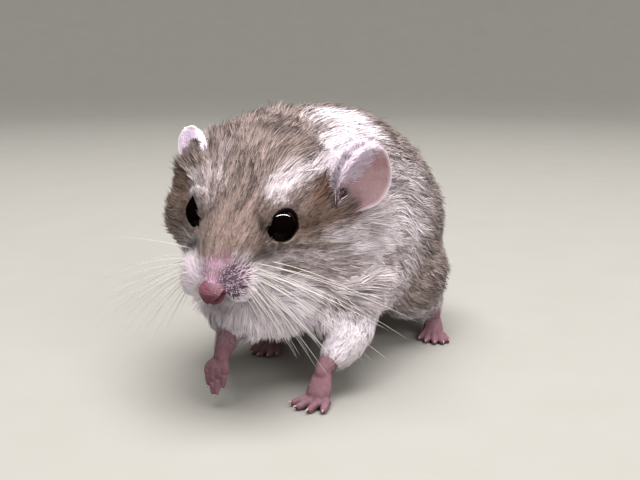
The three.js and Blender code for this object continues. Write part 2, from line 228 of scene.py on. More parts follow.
@dataclass
class Form:
    """A bare mesh in millimetres, with values kept at its points."""

    points: Array
    faces: Array
    values: dict[str, Array] = field(default_factory=dict)
    uv: Array | None = None
    shading: Array | None = None

    @staticmethod
    def joined(forms: list["Form"]) -> "Form":
        """One form of several, with the values that they share.

        Args:
            forms: Forms whose faces have the same number of corners.

        Returns:
            The joined form.
        """
        starts = np.cumsum([0] + [len(f.points) for f in forms[:-1]])
        points = np.vstack([f.points for f in forms])
        faces = np.vstack([f.faces + s for f, s in zip(forms, starts)])
        values = {k: np.concatenate([f.values[k] for f in forms]) for k in forms[0].values}
        return Form(points, faces, values)

    def normals(self) -> Array:
        """Outward directions at the points."""
        a, b, c = (self.points[self.faces[:, k]] for k in (0, 1, 2))
        cross = np.cross(b - a, c - a)
        total = np.zeros_like(self.points)
        for k in range(self.faces.shape[1]):
            for axis in range(3):
                total[:, axis] += np.bincount(self.faces[:, k], cross[:, axis], len(self.points))
        return unit(total)

    def relax(self, rounds: int, pull: float = 0.5, push: float = 0.0, where: Array | float = 1.0) -> None:
        """Evens out the points.

        Args:
            rounds: How often each point moves towards the middle of its neighbours.
            pull: Share of the way that it moves.
            push: Share that it moves back after each pull, which keeps the volume.
            where: How much of that each point does.
        """
        part = np.broadcast_to(where, len(self.points))[:, None]
        corners = self.faces.shape[1]
        pairs = np.vstack([self.faces[:, [k, (k + 1) % corners]] for k in range(corners)])
        pairs = np.unique(np.sort(pairs, axis=1), axis=0)
        a = np.concatenate([pairs[:, 0], pairs[:, 1]])
        b = np.concatenate([pairs[:, 1], pairs[:, 0]])
        count = np.maximum(np.bincount(a, minlength=len(self.points)), 1)[:, None]
        for _ in range(rounds):
            for step in (pull, -push):
                if not step:
                    continue
                middle = np.stack(
                    [np.bincount(a, self.points[b, k], len(self.points)) for k in range(3)], axis=1
                )
                self.points = self.points + step * part * (middle / count - self.points)

    def remeshed(self, voxel: float) -> "Form":
        """The outer surface of everything in the form, as even squares.

        Args:
            voxel: The squares' size.

        Returns:
            A new form.
        """
        source = self.piece("remesh_source", metres=False)
        modifier = source.modifiers.new("even", "REMESH")
        modifier.mode = "VOXEL"
        modifier.voxel_size = voxel
        made = bpy.data.meshes.new_from_object(source.evaluated_get(bpy.context.evaluated_depsgraph_get()))
        points = np.empty(len(made.vertices) * 3)
        made.vertices.foreach_get("co", points)
        corners = np.empty(len(made.loops), dtype=np.int64)
        made.loops.foreach_get("vertex_index", corners)
        bpy.data.objects.remove(source)
        bpy.data.meshes.remove(made)
        return Form(points.reshape(-1, 3), corners.reshape(-1, 4))

    def piece(self, name: str, metres: bool = True) -> bpy.types.Object:
        """The form as an object of the scene.

        Args:
            name: The object's name.
            metres: False to keep millimetres, for a mesh that is only worked on.

        Returns:
            The object, with its values as attributes.
        """
        mesh = bpy.data.meshes.new(name)
        count, corners = self.faces.shape
        scale = MM if metres else 1.0
        mesh.vertices.add(len(self.points))
        mesh.vertices.foreach_set("co", (self.points * scale).astype(np.float32).ravel())
        mesh.loops.add(count * corners)
        mesh.loops.foreach_set("vertex_index", self.faces.astype(np.int32).ravel())
        mesh.polygons.add(count)
        mesh.polygons.foreach_set("loop_start", np.arange(0, count * corners, corners, dtype=np.int32))
        mesh.polygons.foreach_set("use_smooth", np.ones(count, dtype=bool))
        mesh.update(calc_edges=True)
        for key, value in self.values.items():
            kept = mesh.attributes.new(key, "FLOAT", "POINT")
            kept.data.foreach_set("value", value.astype(np.float32))
        if self.uv is not None:
            layer = mesh.uv_layers.new(name=BAKE_MAP)
            layer.data.foreach_set("uv", self.uv.astype(np.float32).ravel())
        if self.shading is not None:
            mesh.normals_split_custom_set_from_vertices(self.shading.tolist())
        made = bpy.data.objects.new(name, mesh)
        bpy.context.scene.collection.objects.link(made)
        return made


def ball(centre: Array, size: Array, turn: Array | None = None, around: int = 32, down: int = 24) -> Form:
    """An ellipsoid of quads.

    Args:
        centre: Its middle.
        size: Its three half sizes.
        turn: A 3 by 3 matrix that turns it before it is placed.
        around: Faces round it.
        down: Faces from pole to pole.

    Returns:
        The form.
    """
    lon = np.linspace(0, 2 * math.pi, around, endpoint=False)
    lat = np.linspace(0, math.pi, down + 1)
    lat[0], lat[-1] = 0.02, math.pi - 0.02
    grid = np.stack(
        [
            np.outer(np.sin(lat), np.cos(lon)),
            np.outer(np.sin(lat), np.sin(lon)),
            np.outer(np.cos(lat), np.ones(around)),
        ],
        axis=-1,
    ).reshape(-1, 3)
    form = Form(grid * np.array(size), ring_faces(around, down + 1, capped=True))
    if turn is not None:
        form.points = form.points @ turn.T
    form.points = form.points + np.array(centre)
    return form


def ring_faces(around: int, rings: int, capped: bool) -> Array:
    """Quads that join rings of points.

    Args:
        around: Points in a ring.
        rings: How many rings.
        capped: Close the first and last ring with fans of flat quads.

    Returns:
        Rows of four corners, facing outwards for rings that run down with their points anticlockwise.
    """
    i = np.arange(rings - 1)[:, None] * around
    j = np.arange(around)[None, :]
    k = (j + 1) % around
    faces = np.stack([i + j, i + around + j, i + around + k, i + k], axis=-1).reshape(-1, 4)
    if not capped:
        return faces
    top = np.array([[a, a + 1, around - a - 2, around - a - 1] for a in range(around // 2 - 1)])
    last = (rings - 1) * around
    return np.vstack([faces, top, last + top[:, ::-1]])


def tube(stations: list, radii: list, around: int = 12, steps: int = 12, flat: float = 1.0) -> Form:
    """A closed rounded tube through stations.

    Args:
        stations: Its axis, from end to end.
        radii: One radius for each station.
        around: Faces round it.
        steps: Faces along it.
        flat: Height of its section as a share of the width.

    Returns:
        The form.
    """
    rows = np.column_stack([np.array(stations, dtype=float), np.array(radii, dtype=float)])
    turn = np.linspace(0, math.pi, steps + 1)
    t = 0.4 * (1 - np.cos(turn)) / 2 + 0.6 * turn / math.pi
    at = spline(rows, t)
    ahead = unit(spline(rows, t + 0.02)[:, :3] - spline(rows, t - 0.02)[:, :3])
    across = unit(np.cross(ahead, np.where(np.abs(ahead[:, 2:]) > 0.95, [0.0, 1.0, 0.0], UP)))
    rise = np.cross(across, ahead)
    lengths = np.linalg.norm(np.diff(rows[:, :3], axis=0), axis=1).sum()
    near = np.minimum(np.minimum(t * lengths / rows[0, 3], (1 - t) * lengths / rows[-1, 3]), 1.0)
    open_ = np.maximum(np.sqrt(np.maximum(1 - (1 - near) ** 2, 0.0)), 0.03)
    angle = np.linspace(0, 2 * math.pi, around, endpoint=False)
    side = np.cos(angle)[None, :, None] * across[:, None, :]
    top = flat * np.sin(angle)[None, :, None] * rise[:, None, :]
    ring = at[:, None, :3] + (side + top) * (at[:, 3] * open_)[:, None, None]
    return Form(ring.reshape(-1, 3), ring_faces(around, steps + 1, capped=True))


# The animal's frames and fields


@dataclass(frozen=True)
class HeadFrame:
    """The head's own frame: the nose tip is its origin and +Y runs back along the skull."""

    nose: tuple = (-3.0, -41.3, 24.6)
    yaw: float = 9.0
    pitch: float = 25.0
    roll: float = 5.0
    eye: tuple = (7.2, 16.9, 1.9)
    eye_radius: float = 3.45
    eye_facing: tuple = (0.8, -0.55, 0.22)
    eye_sunk: tuple = (0.5, 0.75)  # how much deeper the balls sit than their solids, left and right
    eye_rise: tuple = (0.3, 0.9)  # and how much higher
    lids_open: tuple = (56.0, 51.0)  # how wide the lids stand, as degrees from where the eye looks

    @property
    def turn(self) -> Array:
        """The head's directions as columns."""
        return turn_about("Z", self.yaw) @ turn_about("X", self.pitch) @ turn_about("Y", self.roll)

    def inside(self, body: Array) -> Array:
        """Points of the body's frame in the head's frame."""
        return (body - np.array(self.nose)) @ self.turn

    def outside(self, head: Array) -> Array:
        """Points of the head's frame in the body's frame."""
        return np.asarray(head, dtype=float) @ self.turn.T + np.array(self.nose)

    def eye_at(self, side: Side) -> Array:
        """The middle of an eye, in the head's frame."""
        at = np.array(self.eye) * np.array([side.value, 1, 1]) + np.array([0.0, 0.0, side.of(self.eye_rise)])
        return at - self.eye_towards(side) * side.of(self.eye_sunk)

    def eye_towards(self, side: Side) -> Array:
        """Where an eye looks, in the head's frame."""
        return unit(np.array(self.eye_facing) * np.array([side.value, 1, 1]))

    def eye_axes(self, side: Side) -> tuple[Array, Array, Array]:
        """Where an eye looks, and the ways back and up across it."""
        facing = self.eye_towards(side)
        back = unit(np.array([0.0, 1.0, 0.0]) - facing * facing[1])
        return facing, back, np.cross(facing, back) * side.value

    def lid_edge(self, angle: Array, side: Side) -> Array:
        """How far the lids open, as degrees from where the eye looks.

        Args:
            angle: Place round the eye in radians: 0 is its back, a quarter turn its top.
            side: Which eye.

        Returns:
            One angle for each place.
        """
        tear = np.exp(-((np.angle(np.exp(1j * (angle - math.radians(178)))) / 0.34) ** 2))
        rear = np.exp(-((np.angle(np.exp(1j * (angle + math.radians(14)))) / 0.45) ** 2))
        open_ = side.of(self.lids_open) + 2.5 * np.cos(2 * angle) + 4.0 * np.sin(angle)
        return open_ + side.of((20.0, 14.0)) * tear + 2.0 * rear

    def round_eye(self, q: Array, side: Side) -> tuple[Array, Array]:
        """Where points lie about an eye.

        Args:
            q: Points in the head's frame.
            side: Which eye.

        Returns:
            Distances from its middle, and degrees outside the lids' edge.
        """
        out = q - self.eye_at(side)
        facing, back, up = self.eye_axes(side)
        far = np.maximum(np.linalg.norm(out, axis=1), 1e-6)
        polar = np.degrees(np.arccos(np.clip(out @ facing / far, -1, 1)))
        return far, polar - self.lid_edge(np.arctan2(out @ up, out @ back), side)


HEAD = HeadFrame()


def model_shift() -> Array:
    """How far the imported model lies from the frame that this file's sizes are in, in millimetres."""
    low, high = (np.array(c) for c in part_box("eye_left"))
    return (low + high) / 2 / MM - HEAD.outside(np.array(HEAD.eye))


SHIFT = model_shift()


@dataclass(frozen=True)
class Leg:
    """One lower leg and its foot, in the body's frame."""

    node: str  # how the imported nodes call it
    side: Side
    knee: Array
    heel: Array
    ball: Array  # of the foot, where the toes begin
    turn: float  # where the foot points, as degrees from straight ahead
    curl: float  # how far the toes hang, in degrees
    spread: float  # degrees from toe to toe
    toes: int
    toe: float  # length of the longest toe
    pitch: float  # distance from toe to toe
    half: float  # half the foot's width
    fade: float  # how much shorter the outer toes are

    @property
    def shank(self) -> list:
        """The two ends of the lower leg."""
        return [self.knee, self.heel]

    @property
    def hangs(self) -> bool:
        """Whether the foot is lifted and its toes hang."""
        return self.curl > 0


LEGS = (
    Leg("fore", Side.LEFT, np.array([10.2, -12.5, 11.8]), np.array([8.3, -21.0, 5.8]),
        np.array([8.4, -24.4, 0.8]), -20, 0, 22, 4, 3.6, 1.456, 2.8, 0.11),
    Leg("fore", Side.RIGHT, np.array([-10.0, -21.0, 14.5]), np.array([-7.8, -29.4, 9.6]),
        np.array([-8.0, -31.0, 7.0]), 3, 66, -3.5, 4, 3.6, 1.456, 2.8, 0.14),
    Leg("hind", Side.LEFT, np.array([10.5, 32.0, 8.5]), np.array([13.8, 26.0, 3.8]),
        np.array([15.0, 22.4, 0.8]), 22, 0, 12, 5, 4.6, 1.082, 2.6, 0.088),
    Leg("hind", Side.RIGHT, np.array([-14.0, 15.0, 5.6]), np.array([-13.8, 1.5, 2.0]),
        np.array([-13.6, -0.6, 0.85]), -2, 0, 12, 5, 4.6, 1.082, 2.6, 0.088),
)

# Lines in the head's frame that more than one marking follows
EAR_FRONT = [(11.6, 29, 9.4), (12.8, 25, 6), (12.6, 21.5, 3.6)]
EYE_STREAK = [(10.8, 18, 1.6), (15.3, 22.6, 0.8), (18.5, 26.4, -1.2), (22, 31, -2.8)]
# Dark spots of the crown: strength, line, and distances at which each is full and gone
CROWN_SPOTS = (
    (1.0, [(0.2, 22.8, 11.0), (1.0, 25, 11.4)], 0.6, 2.3),
    (1.0, [(-5.6, 24.6, 10.7), (-4.4, 26.4, 11.4)], 0.6, 2.4),
    (0.8, [(-4.9, 21, 9.4), (-4.7, 22.4, 9.9)], 0.5, 2.0),
    (0.9, [(-6, 31, 12.1), (0.2, 31.8, 13.0)], 0.8, 2.8),
)


@dataclass(frozen=True)
class Marked:
    """Points of the coat, and how strong each marking is there."""

    p: Array  # in the body's frame
    q: Array  # in the head's frame
    m: Array  # the same, folded over on the left side
    left: Array  # 1 on the head's left side
    head: Array  # 1 on the head and 0 on the body
    wave: Array  # makes edges ragged

    def underside(self) -> Array:
        """The white that climbs from the wrists over the throat to the lips.

        Returns:
            One share for each point.
        """
        line = np.interp(self.q[:, 1], [2, 7, 15, 17, 20, 26], [0.4, -2.6, -7.4, -10.0, -13.2, -14.5])
        on_head = 1 - smooth(self.q[:, 2] - line + 0.5 * self.wave, -1.6, 1.6)
        # Towards the haunch the white sits lower, partly to follow its edge and partly as painted shade
        limit = 16.6 + 8.0 * (1 - smooth(self.p[:, 1], -25, -13)) - 8.0 * smooth(self.p[:, 1], 2, 14)
        on_body = 1 - smooth(self.p[:, 2] - limit + self.wave, -4.5, 4.0)
        return blend(on_body, on_head, self.head)

    def canal(self) -> Array:
        """The opening of the left ear, painted dark as the shade inside it."""
        return on_line(self.q, [(16.0, 26.2, 1.4), (16.8, 27.6, 2.4)], 0.8, 2.2)

    def patch(self) -> Array:
        """The white patch behind an ear, faint on the right, and the white at the left ear's foot.

        Returns:
            One share for each point.
        """
        line = [(14.5, 27.5, 4.5), (13, 34, 9), (10, 41, 11), (13.5, 45, 8)]
        behind = on_line(self.m, line, 3.6, 7.4, 0.8 * self.wave)
        behind = behind * smooth(self.q[:, 1], 24, 27) * (0.18 + 0.82 * self.left)
        foot = on_line(self.q, [(14.8, 25.0, 2.8), (14.8, 26.6, 5.4)], 1.2, 2.8, 0.2 * self.wave)
        return np.maximum(behind, foot) * (1 - self.canal())

    def brow(self) -> Array:
        """The pale brows, and a faint one further in on the right.

        Returns:
            One share for each point.
        """
        left = on_line(self.q, [(6.4, 18.8, 8.0), (9.6, 24.6, 8.8)], 1.0, 4.4, 0.3 * self.wave)
        right = on_line(self.q, [(-8.6, 18.6, 5.6), (-10.2, 21.4, 6.4)], 0.8, 2.6)
        faint = on_line(self.q, [(-5.6, 15, 5.6), (-5.4, 21, 8.6)], 1, 4, 0.9 * self.wave)
        return np.maximum.reduce([0.68 * self.left * left, 0.6 * right, 0.18 * faint])

    def flank(self) -> Array:
        """The paler flank, which ends in a slant before the haunch."""
        pale = 0.6 * (1 - smooth(self.p[:, 2] + 1.5 * self.wave, 30, 47)) * (1 - self.head)
        return pale * (1 - 0.95 * smooth(self.p[:, 1] - 0.4 * (self.p[:, 2] - 30), 3, 16))

    def cheek(self) -> Array:
        """The pale cheek under the ear, the stripe under the eye and the pale jaw.

        Returns:
            One share for each point.
        """
        cheek = on_line(self.m, [(17.5, 23.5, -4.4), (20.5, 27, -6.5), (22.5, 33, -7.5)], 2.0, 6.5, self.wave)
        line = [(9.8, 15.4, -4.6), (12.6, 18.6, -6.0), (16.4, 21.6, -6.6)]
        under = on_line(self.m, line, 1.2, 4.6, 0.4 * self.wave)
        jaw = 1 - smooth(self.q[:, 2] + 0.5 * self.wave, -10, -5)
        cheek = cheek * (0.3 + 0.5 * self.left)
        return np.maximum.reduce([cheek, 0.45 * self.left * under, 0.35 * self.head * jaw])

    def muzzle(self) -> Array:
        """The pale muzzle."""
        return on_line(self.m, [(0, 1, 0), (0, 2.0, 0.4), (4.8, 7.0, -2.4), (6.2, 9.4, -4)], 1.6, 3.3)

    def cream(self) -> Array:
        """The cream behind the muzzle."""
        line = [(6.2, 9.6, -2.2), (8.6, 13.5, -3.4), (10.4, 16.0, -5.4), (11.4, 15.6, -8)]
        return 0.6 * on_line(self.m, line, 1.2, 4.4, 0.3 * self.wave)

    def warm(self) -> Array:
        """The brown before the ears, along the eye streaks, low on the head and at the right temple."""
        return np.maximum.reduce([
            on_line(self.m, EAR_FRONT, 1.0, 3.4, 0.3 * self.wave),
            on_line(self.m, EYE_STREAK, 0.6, 2.8),
            0.05 + 0.3 * self.head * (1 - smooth(self.q[:, 2], 3, 9)),
            0.65 * on_line(self.q, [(-12.5, 20, 1), (-14.5, 24, 0)], 1.5, 4.5),
        ])

    def dark(self) -> Array:
        """The dark ticking of crown, back and rump, with the spots and streaks of the face.

        Returns:
            One share for each point.
        """
        crown = smooth(self.q[:, 2], 5, 10) * smooth(self.q[:, 1], 13, 25)
        mottle = smooth(ripple(self.p, 6.0, 21), 0.1, 0.9)
        back = smooth(self.p[:, 2], 22, 46)
        body = 0.3 + 0.5 * back + 0.36 * back * mottle + 0.42 * smooth(self.p[:, 1], 6, 28)
        dark = blend(body, 0.48 - 0.12 * crown + 0.86 * crown * mottle, self.head) * (1 - 0.55 * self.cheek())
        dark = dark * (1 - 0.65 * self.head * (1 - smooth(self.q[:, 2], -6, 0)))
        spots = np.maximum.reduce([
            share * on_line(self.q, line, full, gone) for share, line, full, gone in CROWN_SPOTS
        ])
        return np.maximum.reduce([
            dark,
            0.95 * spots,
            0.8 * on_line(self.m, EYE_STREAK, 0.3, 1.8),
            0.6 * on_line(self.m, EAR_FRONT, 0.5, 3.0, 0.3 * self.wave),
            0.55 * on_line(self.m, [(14.2, 19.4, -4.2)], 0.5, 2.6),
            self.canal(),
        ])

    def bare(self) -> Array:
        """The bare pink skin over the nose, which thins out on the right.

        Returns:
            One share for each point.
        """
        line = [(0, 0.5, -0.5), (0, 3.2, 0.9), (2.6, 4.2, -0.4)]
        thin = 1 - 0.6 * (1 - smooth(self.q[:, 0], -3.5, -1.5))
        return on_line(self.m, line, 1.7, 3.4, 0.3 * self.wave) * thin

    def dusk(self) -> Array:
        """The dusky pad beside the nose, faint on the right."""
        line = [(2.6, 2.8, -1.4), (4.4, 4.2, 0.4), (5.5, 6.0, -1.4), (5.4, 6.0, -3.2), (3.2, 3.4, -4.6)]
        return on_line(self.m, line, 1.5, 3.8, 0.3 * self.wave) * (0.2 + 0.8 * smooth(self.q[:, 0], -1, 1))


@dataclass(frozen=True)
class Fields:
    """What the coat is like at any point: its markings, depth, length and lie."""

    head: HeadFrame = HEAD

    def headness(self, q: Array) -> Array:
        """1 on the head and 0 on the body, for points in the head's frame."""
        return (1 - smooth(q[:, 1], 27, 34)) * smooth(q[:, 2], -15, -10)

    def to_eye(self, q: Array) -> Array:
        """Distance from the nearer eye's middle, for points in the head's frame."""
        return np.minimum(*(np.linalg.norm(q - self.head.eye_at(side), axis=1) for side in Side))

    def limbness(self, p: Array) -> Array:
        """1 on a lower leg and 0 well away from one."""
        return np.maximum.reduce([on_line(p, leg.shank, 4.0, 7.5) for leg in LEGS])

    def by_ear(self, q: Array) -> Array:
        """1 in front of an ear's foot, where the coat stands up against the ear.

        Args:
            q: Points in the head's frame.

        Returns:
            One share for each point.
        """
        left = near_line(q, [(15.0, 23.0, 0.5), (17.0, 25.5, -2.2), (18.5, 29.0, -2.8)]) + 1.3
        right = near_line(q, [(-7.6, 22.0, 8.4), (-9.6, 22.6, 7.4), (-11.8, 23.4, 5.6)]) + 0.6
        return 1 - smooth(np.minimum(left, right), 1.2, 4.2)

    def by_pad(self, q: Array) -> Array:
        """1 on the bristly whisker pads."""
        return on_line(folded(q), [(4.6, 4.6, -2.0), (5.4, 8.0, -2.4)], 1.6, 4.0)

    def at_wrist(self, p: Array) -> Array:
        """1 where the coat of a leg ends above its foot."""
        return np.maximum.reduce([on_line(p, [leg.heel], 1.6, 5.0) for leg in LEGS])

    def markings(self, p: Array) -> dict[str, Array]:
        """The colours of the coat, each as a share.

        Args:
            p: Points in the body's frame.

        Returns:
            Shares of white, warm brown, dark ticking, bare pink skin and dusky skin.
        """
        q = self.head.inside(p)
        wave = ripple(p, 9.0, 3) * 1.3 + ripple(p, 4.0, 4) * 0.7
        at = Marked(p, q, folded(q), smooth(q[:, 0], -2, 4), self.headness(q), wave)
        white, patch, brow, muzzle, dusk = at.underside(), at.patch(), at.brow(), at.muzzle(), at.dusk()
        light = np.maximum.reduce([white, patch, brow, at.flank(), at.cheek(), at.cream(), muzzle])
        light = light * (1 - at.canal())
        dark = at.dark() * (1 - white) * (1 - 0.9 * patch) * (1 - 0.8 * brow) * (1 - muzzle) * (1 - dusk)
        return {
            "white": np.clip(np.maximum(light, 0.9 * dusk), 0, 1),
            "warm": np.clip(at.warm() * (1 - white), 0, 1),
            "dark": np.clip(dark, 0, 1),
            "bare": at.bare(),
            "dusk": dusk,
        }

    def depth(self, p: Array) -> Array:
        """How far the skin lies under the tips of the coat.

        Args:
            p: Points in the body's frame.

        Returns:
            One depth for each point.
        """
        q = self.head.inside(p)
        hd = self.headness(q)
        face = blend(1.5, 0.35, 1 - smooth(q[:, 1], 4, 15))
        face = np.minimum(face, blend(0.45, face, smooth(self.to_eye(q), 4.2, 8.0)))
        return blend(blend(2.3, face, hd), 0.7 + 1.0 * self.at_wrist(p), self.limbness(p) * (1 - hd))

    def length(self, p: Array) -> Array:
        """How long the hairs are.

        Args:
            p: Points in the body's frame.

        Returns:
            One length for each point.
        """
        q = self.head.inside(p)
        hd = self.headness(q)
        face = np.interp(q[:, 1], [2, 4, 7, 12, 18, 27], [0.8, 1.1, 2.3, 3.4, 4.6, 5.6])
        face = face + 1.6 * (1 - smooth(q[:, 2], -5.5, -2.5)) * smooth(q[:, 1], 2.5, 6)
        face = np.minimum(face, 1.6 + 4.0 * smooth(self.to_eye(q), 3.9, 10))
        face = face + 1.4 * self.by_ear(q) + 1.7 * self.by_pad(q)
        # Longer before the left ear, and short over its canal
        face = face + 1.3 * on_line(q, [(14.6, 23.6, 2.6), (15.0, 24.0, 0.8)], 0.8, 2.2)
        face = face * (1 - 0.6 * on_line(q, [(16.4, 26.6, 2.0), (16.9, 27.7, 2.5)], 0.8, 2.0))
        body = 5.2 + 1.4 * smooth(p[:, 2], 12, 24) + 0.5 * ripple(p, 14.0, 8)
        return blend(blend(body, face, hd), 2.4 - 1.3 * self.at_wrist(p), self.limbness(p) * (1 - hd))

    def chest(self, p: Array) -> Array:
        """1 on the shaggy breast between the forelegs."""
        return on_line(p, [(2, -19, 10), (6, -15, 9)], 3.0, 7.0)

    def lift(self, p: Array) -> Array:
        """How steeply the hairs rise from the skin, in degrees."""
        q = self.head.inside(p)
        return 12.0 + 22.0 * self.by_ear(q) + 44.0 * self.by_pad(q) + 5.0 * self.chest(p)

    def on_face(self, q: Array) -> Array:
        """Which way the hairs of the head lie.

        Args:
            q: Points in the head's frame.

        Returns:
            Directions in the head's frame, not yet pressed to the skin.
        """
        # They run back from the nose, and more to the side where the whiskers stand.
        start = blend(np.clip(q[:, 1] - 2.0, -3.0, 2.5), -3.0, smooth(q[:, 1], 7, 14))
        away = unit(q - np.column_stack([np.zeros(len(q)), start, np.full(len(q), -1.0)]))
        away = away + np.array([0.0, 0.3, -0.16]) * smooth(np.abs(q[:, :1]), 6, 14)
        # Hair that comes to an eye parts and runs round it.
        for side in Side:
            past = q - self.head.eye_at(side)
            gap = np.maximum(np.linalg.norm(past, axis=1, keepdims=True) - self.head.eye_radius, 0)
            near = np.exp(-((gap / 2.6) ** 2))
            inward = np.minimum((away * unit(past)).sum(axis=1, keepdims=True), 0)
            round_ = unit(np.cross(self.head.eye_towards(side), past))
            round_ = round_ * np.sign(round_[:, 1:2] + 1e-6)
            away = away + near * (unit(past) * (0.2 - 1.05 * inward) - 0.8 * inward * round_)
        return away

    def on_body(self, p: Array, n: Array) -> Array:
        """Which way the hairs of the trunk lie.

        Args:
            p: Points on the skin, in the body's frame.
            n: The skin's outward directions there.

        Returns:
            Directions in the body's frame, not yet pressed to the skin.
        """
        way = np.array([0.0, 1.0, 0.0]) + np.array([0.0, 0.0, -0.55]) * np.abs(n[:, :1])
        # The breast's hair hangs forwards and down.
        way = way + np.array([0.0, -0.9, -0.7]) * (1 - smooth(p[:, 1:2], -22, -6)) * (1 - smooth(p[:, 2:], 22, 34))
        return way + np.column_stack([0.12 * np.sign(p[:, 0] + 5), np.zeros(len(p)), np.zeros(len(p))])

    def lie(self, p: Array, n: Array) -> Array:
        """Which way the coat lies.

        Args:
            p: Points on the skin, in the body's frame.
            n: The skin's outward directions there.

        Returns:
            Directions along the skin.
        """
        q = self.head.inside(p)
        hd = ((1 - smooth(q[:, 1], 16, 46)) * smooth(q[:, 2], -24, -6))[:, None]
        way = blend(self.on_body(p, n), self.on_face(q) @ self.head.turn.T, hd)
        for leg in LEGS:
            close = on_line(p, leg.shank, 3.5, 9.0)[:, None] * (1 - hd)
            way = blend(way, unit(leg.heel - leg.knee), close)
        swirl = ripple(p, 11.0, 5)[:, None] * np.cross(n, unit(way)) * 0.28
        return laid(way + swirl, n)


FIELDS = Fields()


# Finishes


def linear(code: str) -> tuple[float, float, float, float]:
    """An sRGB hex colour as linear red, green, blue and alpha.

    Args:
        code: Six hex digits after a #.

    Returns:
        The four values.
    """
    parts = [int(code[i : i + 2], 16) / 255 for i in (1, 3, 5)]
    red, green, blue = (c / 12.92 if c <= 0.04045 else ((c + 0.055) / 1.055) ** 2.4 for c in parts)
    return red, green, blue, 1.0


def add_node(tree: bpy.types.NodeTree, kind: str, inputs: dict | None = None, **settings) -> bpy.types.Node:
    """Adds a node with its settings, values and links.

    Args:
        tree: The material's node tree.
        kind: The node's type.
        inputs: Values for its sockets, or the sockets that they are linked from.
        **settings: The node's own settings.

    Returns:
        The node.
    """
    node = tree.nodes.new(kind)
    for key, value in settings.items():
        setattr(node, key, value)
    for key, value in (inputs or {}).items():
        if isinstance(value, bpy.types.NodeSocket):
            tree.links.new(value, node.inputs[key])
        else:
            node.inputs[key].default_value = value
    return node

@dataclass(frozen=True)
class Finish:
    """What every finish has: its name, gloss and a surface shader to end in."""

    name: str
    roughness: float = 0.5
    ior: float = 1.5
    specular: float = 0.5
    sheen: float = 0.0
    scatter: float = 0.0

    def start(self) -> tuple[bpy.types.Material, bpy.types.NodeTree]:
        """An empty material and its node tree."""
        made = bpy.data.materials.new(self.name)
        made.use_nodes = True
        made.node_tree.nodes.clear()
        return made, made.node_tree

    def surface(self, tree: bpy.types.NodeTree, inputs: dict) -> bpy.types.Node:
        """Ends the tree in its shader.

        Args:
            tree: The material's node tree.
            inputs: Values or links for the shader's sockets.

        Returns:
            The shader.
        """
        settings = {
            "Roughness": self.roughness,
            "IOR": self.ior,
            "Specular IOR Level": self.specular,
            "Sheen Weight": self.sheen,
            "Subsurface Weight": self.scatter,
        }
        shader = add_node(tree, "ShaderNodeBsdfPrincipled", {**settings, **inputs})
        add_node(tree, "ShaderNodeOutputMaterial", {"Surface": shader.outputs["BSDF"]})
        return shader


@dataclass(frozen=True)
class AgoutiFur(Finish):
    """Keratin hair in bands: slate at the root, buff along the shaft and charcoal at some tips; the dark root also
    paints the shade deep in the coat.

    The bands are what makes the coat look brushed and speckled instead of one flat brown.
    """

    name: str = "agouti_fur"
    roughness: float = 0.62
    specular: float = 0.28
    sheen: float = 0.25
    # The slate root is the hair's own colour, kept dark enough to be painted shade between the hairs as well
    root: str = "#544947"
    band: str = "#9f8d88"
    warm: str = "#7c5f4d"
    tip: str = "#3c3233"
    white: str = "#f0e5ed"
    pink: str = "#a97f95"
    dusk: str = "#604e5c"
    on_skin: bool = False
    root_ends: tuple = (0.0, 0.5)  # shares of the hair between which the root's colour fades
    tip_starts: tuple = (0.45, 0.8)  # and between which a dark tip sets in
    pores: float = 2500.0  # grain of the skin for each metre, so about 0.4 mm wide

    def make(self) -> bpy.types.Material:
        """The material, from the masks kept at the points."""
        made, tree = self.start()
        names = ("along", "shade", "white", "warm", "dark", "bare", "dusk")
        mask = {name: add_node(tree, "ShaderNodeAttribute", attribute_name=name).outputs["Fac"] for name in names}
        rise, last = (
            add_node(tree, "ShaderNodeMapRange", {"Value": mask["along"], "From Min": low, "From Max": high})
            for low, high in (self.root_ends, self.tip_starts)
        )
        # Hair over bare skin is so thin that the pink shows through it.
        tip, through = (
            add_node(tree, "ShaderNodeMath", {0: a, 1: b}, operation="MULTIPLY").outputs["Value"]
            for a, b in ((last.outputs["Result"], mask["dark"]), (mask["bare"], 1.0 if self.on_skin else 0.5))
        )
        inputs = {"Fac": mask["warm"], "Color1": linear(self.band), "Color2": linear(self.warm)}
        shaft = add_node(tree, "ShaderNodeMixRGB", inputs)
        layers = [
            (rise.outputs["Result"], shaft.outputs["Color"], "MIX"),
            (tip, linear(self.tip), "MIX"),
            (mask["white"], linear(self.white), "MIX"),
            (1.0, mask["shade"], "MULTIPLY"),
            (through, linear(self.pink), "MIX"),
        ]
        if self.on_skin:
            layers.append((mask["dusk"], linear(self.dusk), "MIX"))
        colour = linear(self.root)
        for share, over, how in layers:
            inputs = {"Fac": share, "Color1": colour, "Color2": over}
            colour = add_node(tree, "ShaderNodeMixRGB", inputs, blend_type=how).outputs["Color"]
        ends = {"Base Color": colour}
        if self.on_skin:
            place = add_node(tree, "ShaderNodeTexCoord").outputs["Object"]
            grain = add_node(tree, "ShaderNodeTexNoise", {"Vector": place, "Scale": self.pores}).outputs["Fac"]
            bump = add_node(tree, "ShaderNodeBump", {"Height": grain, "Strength": 0.5, "Distance": 0.0002})
            ends["Normal"] = bump.outputs["Normal"]
        self.surface(tree, ends)
        return made


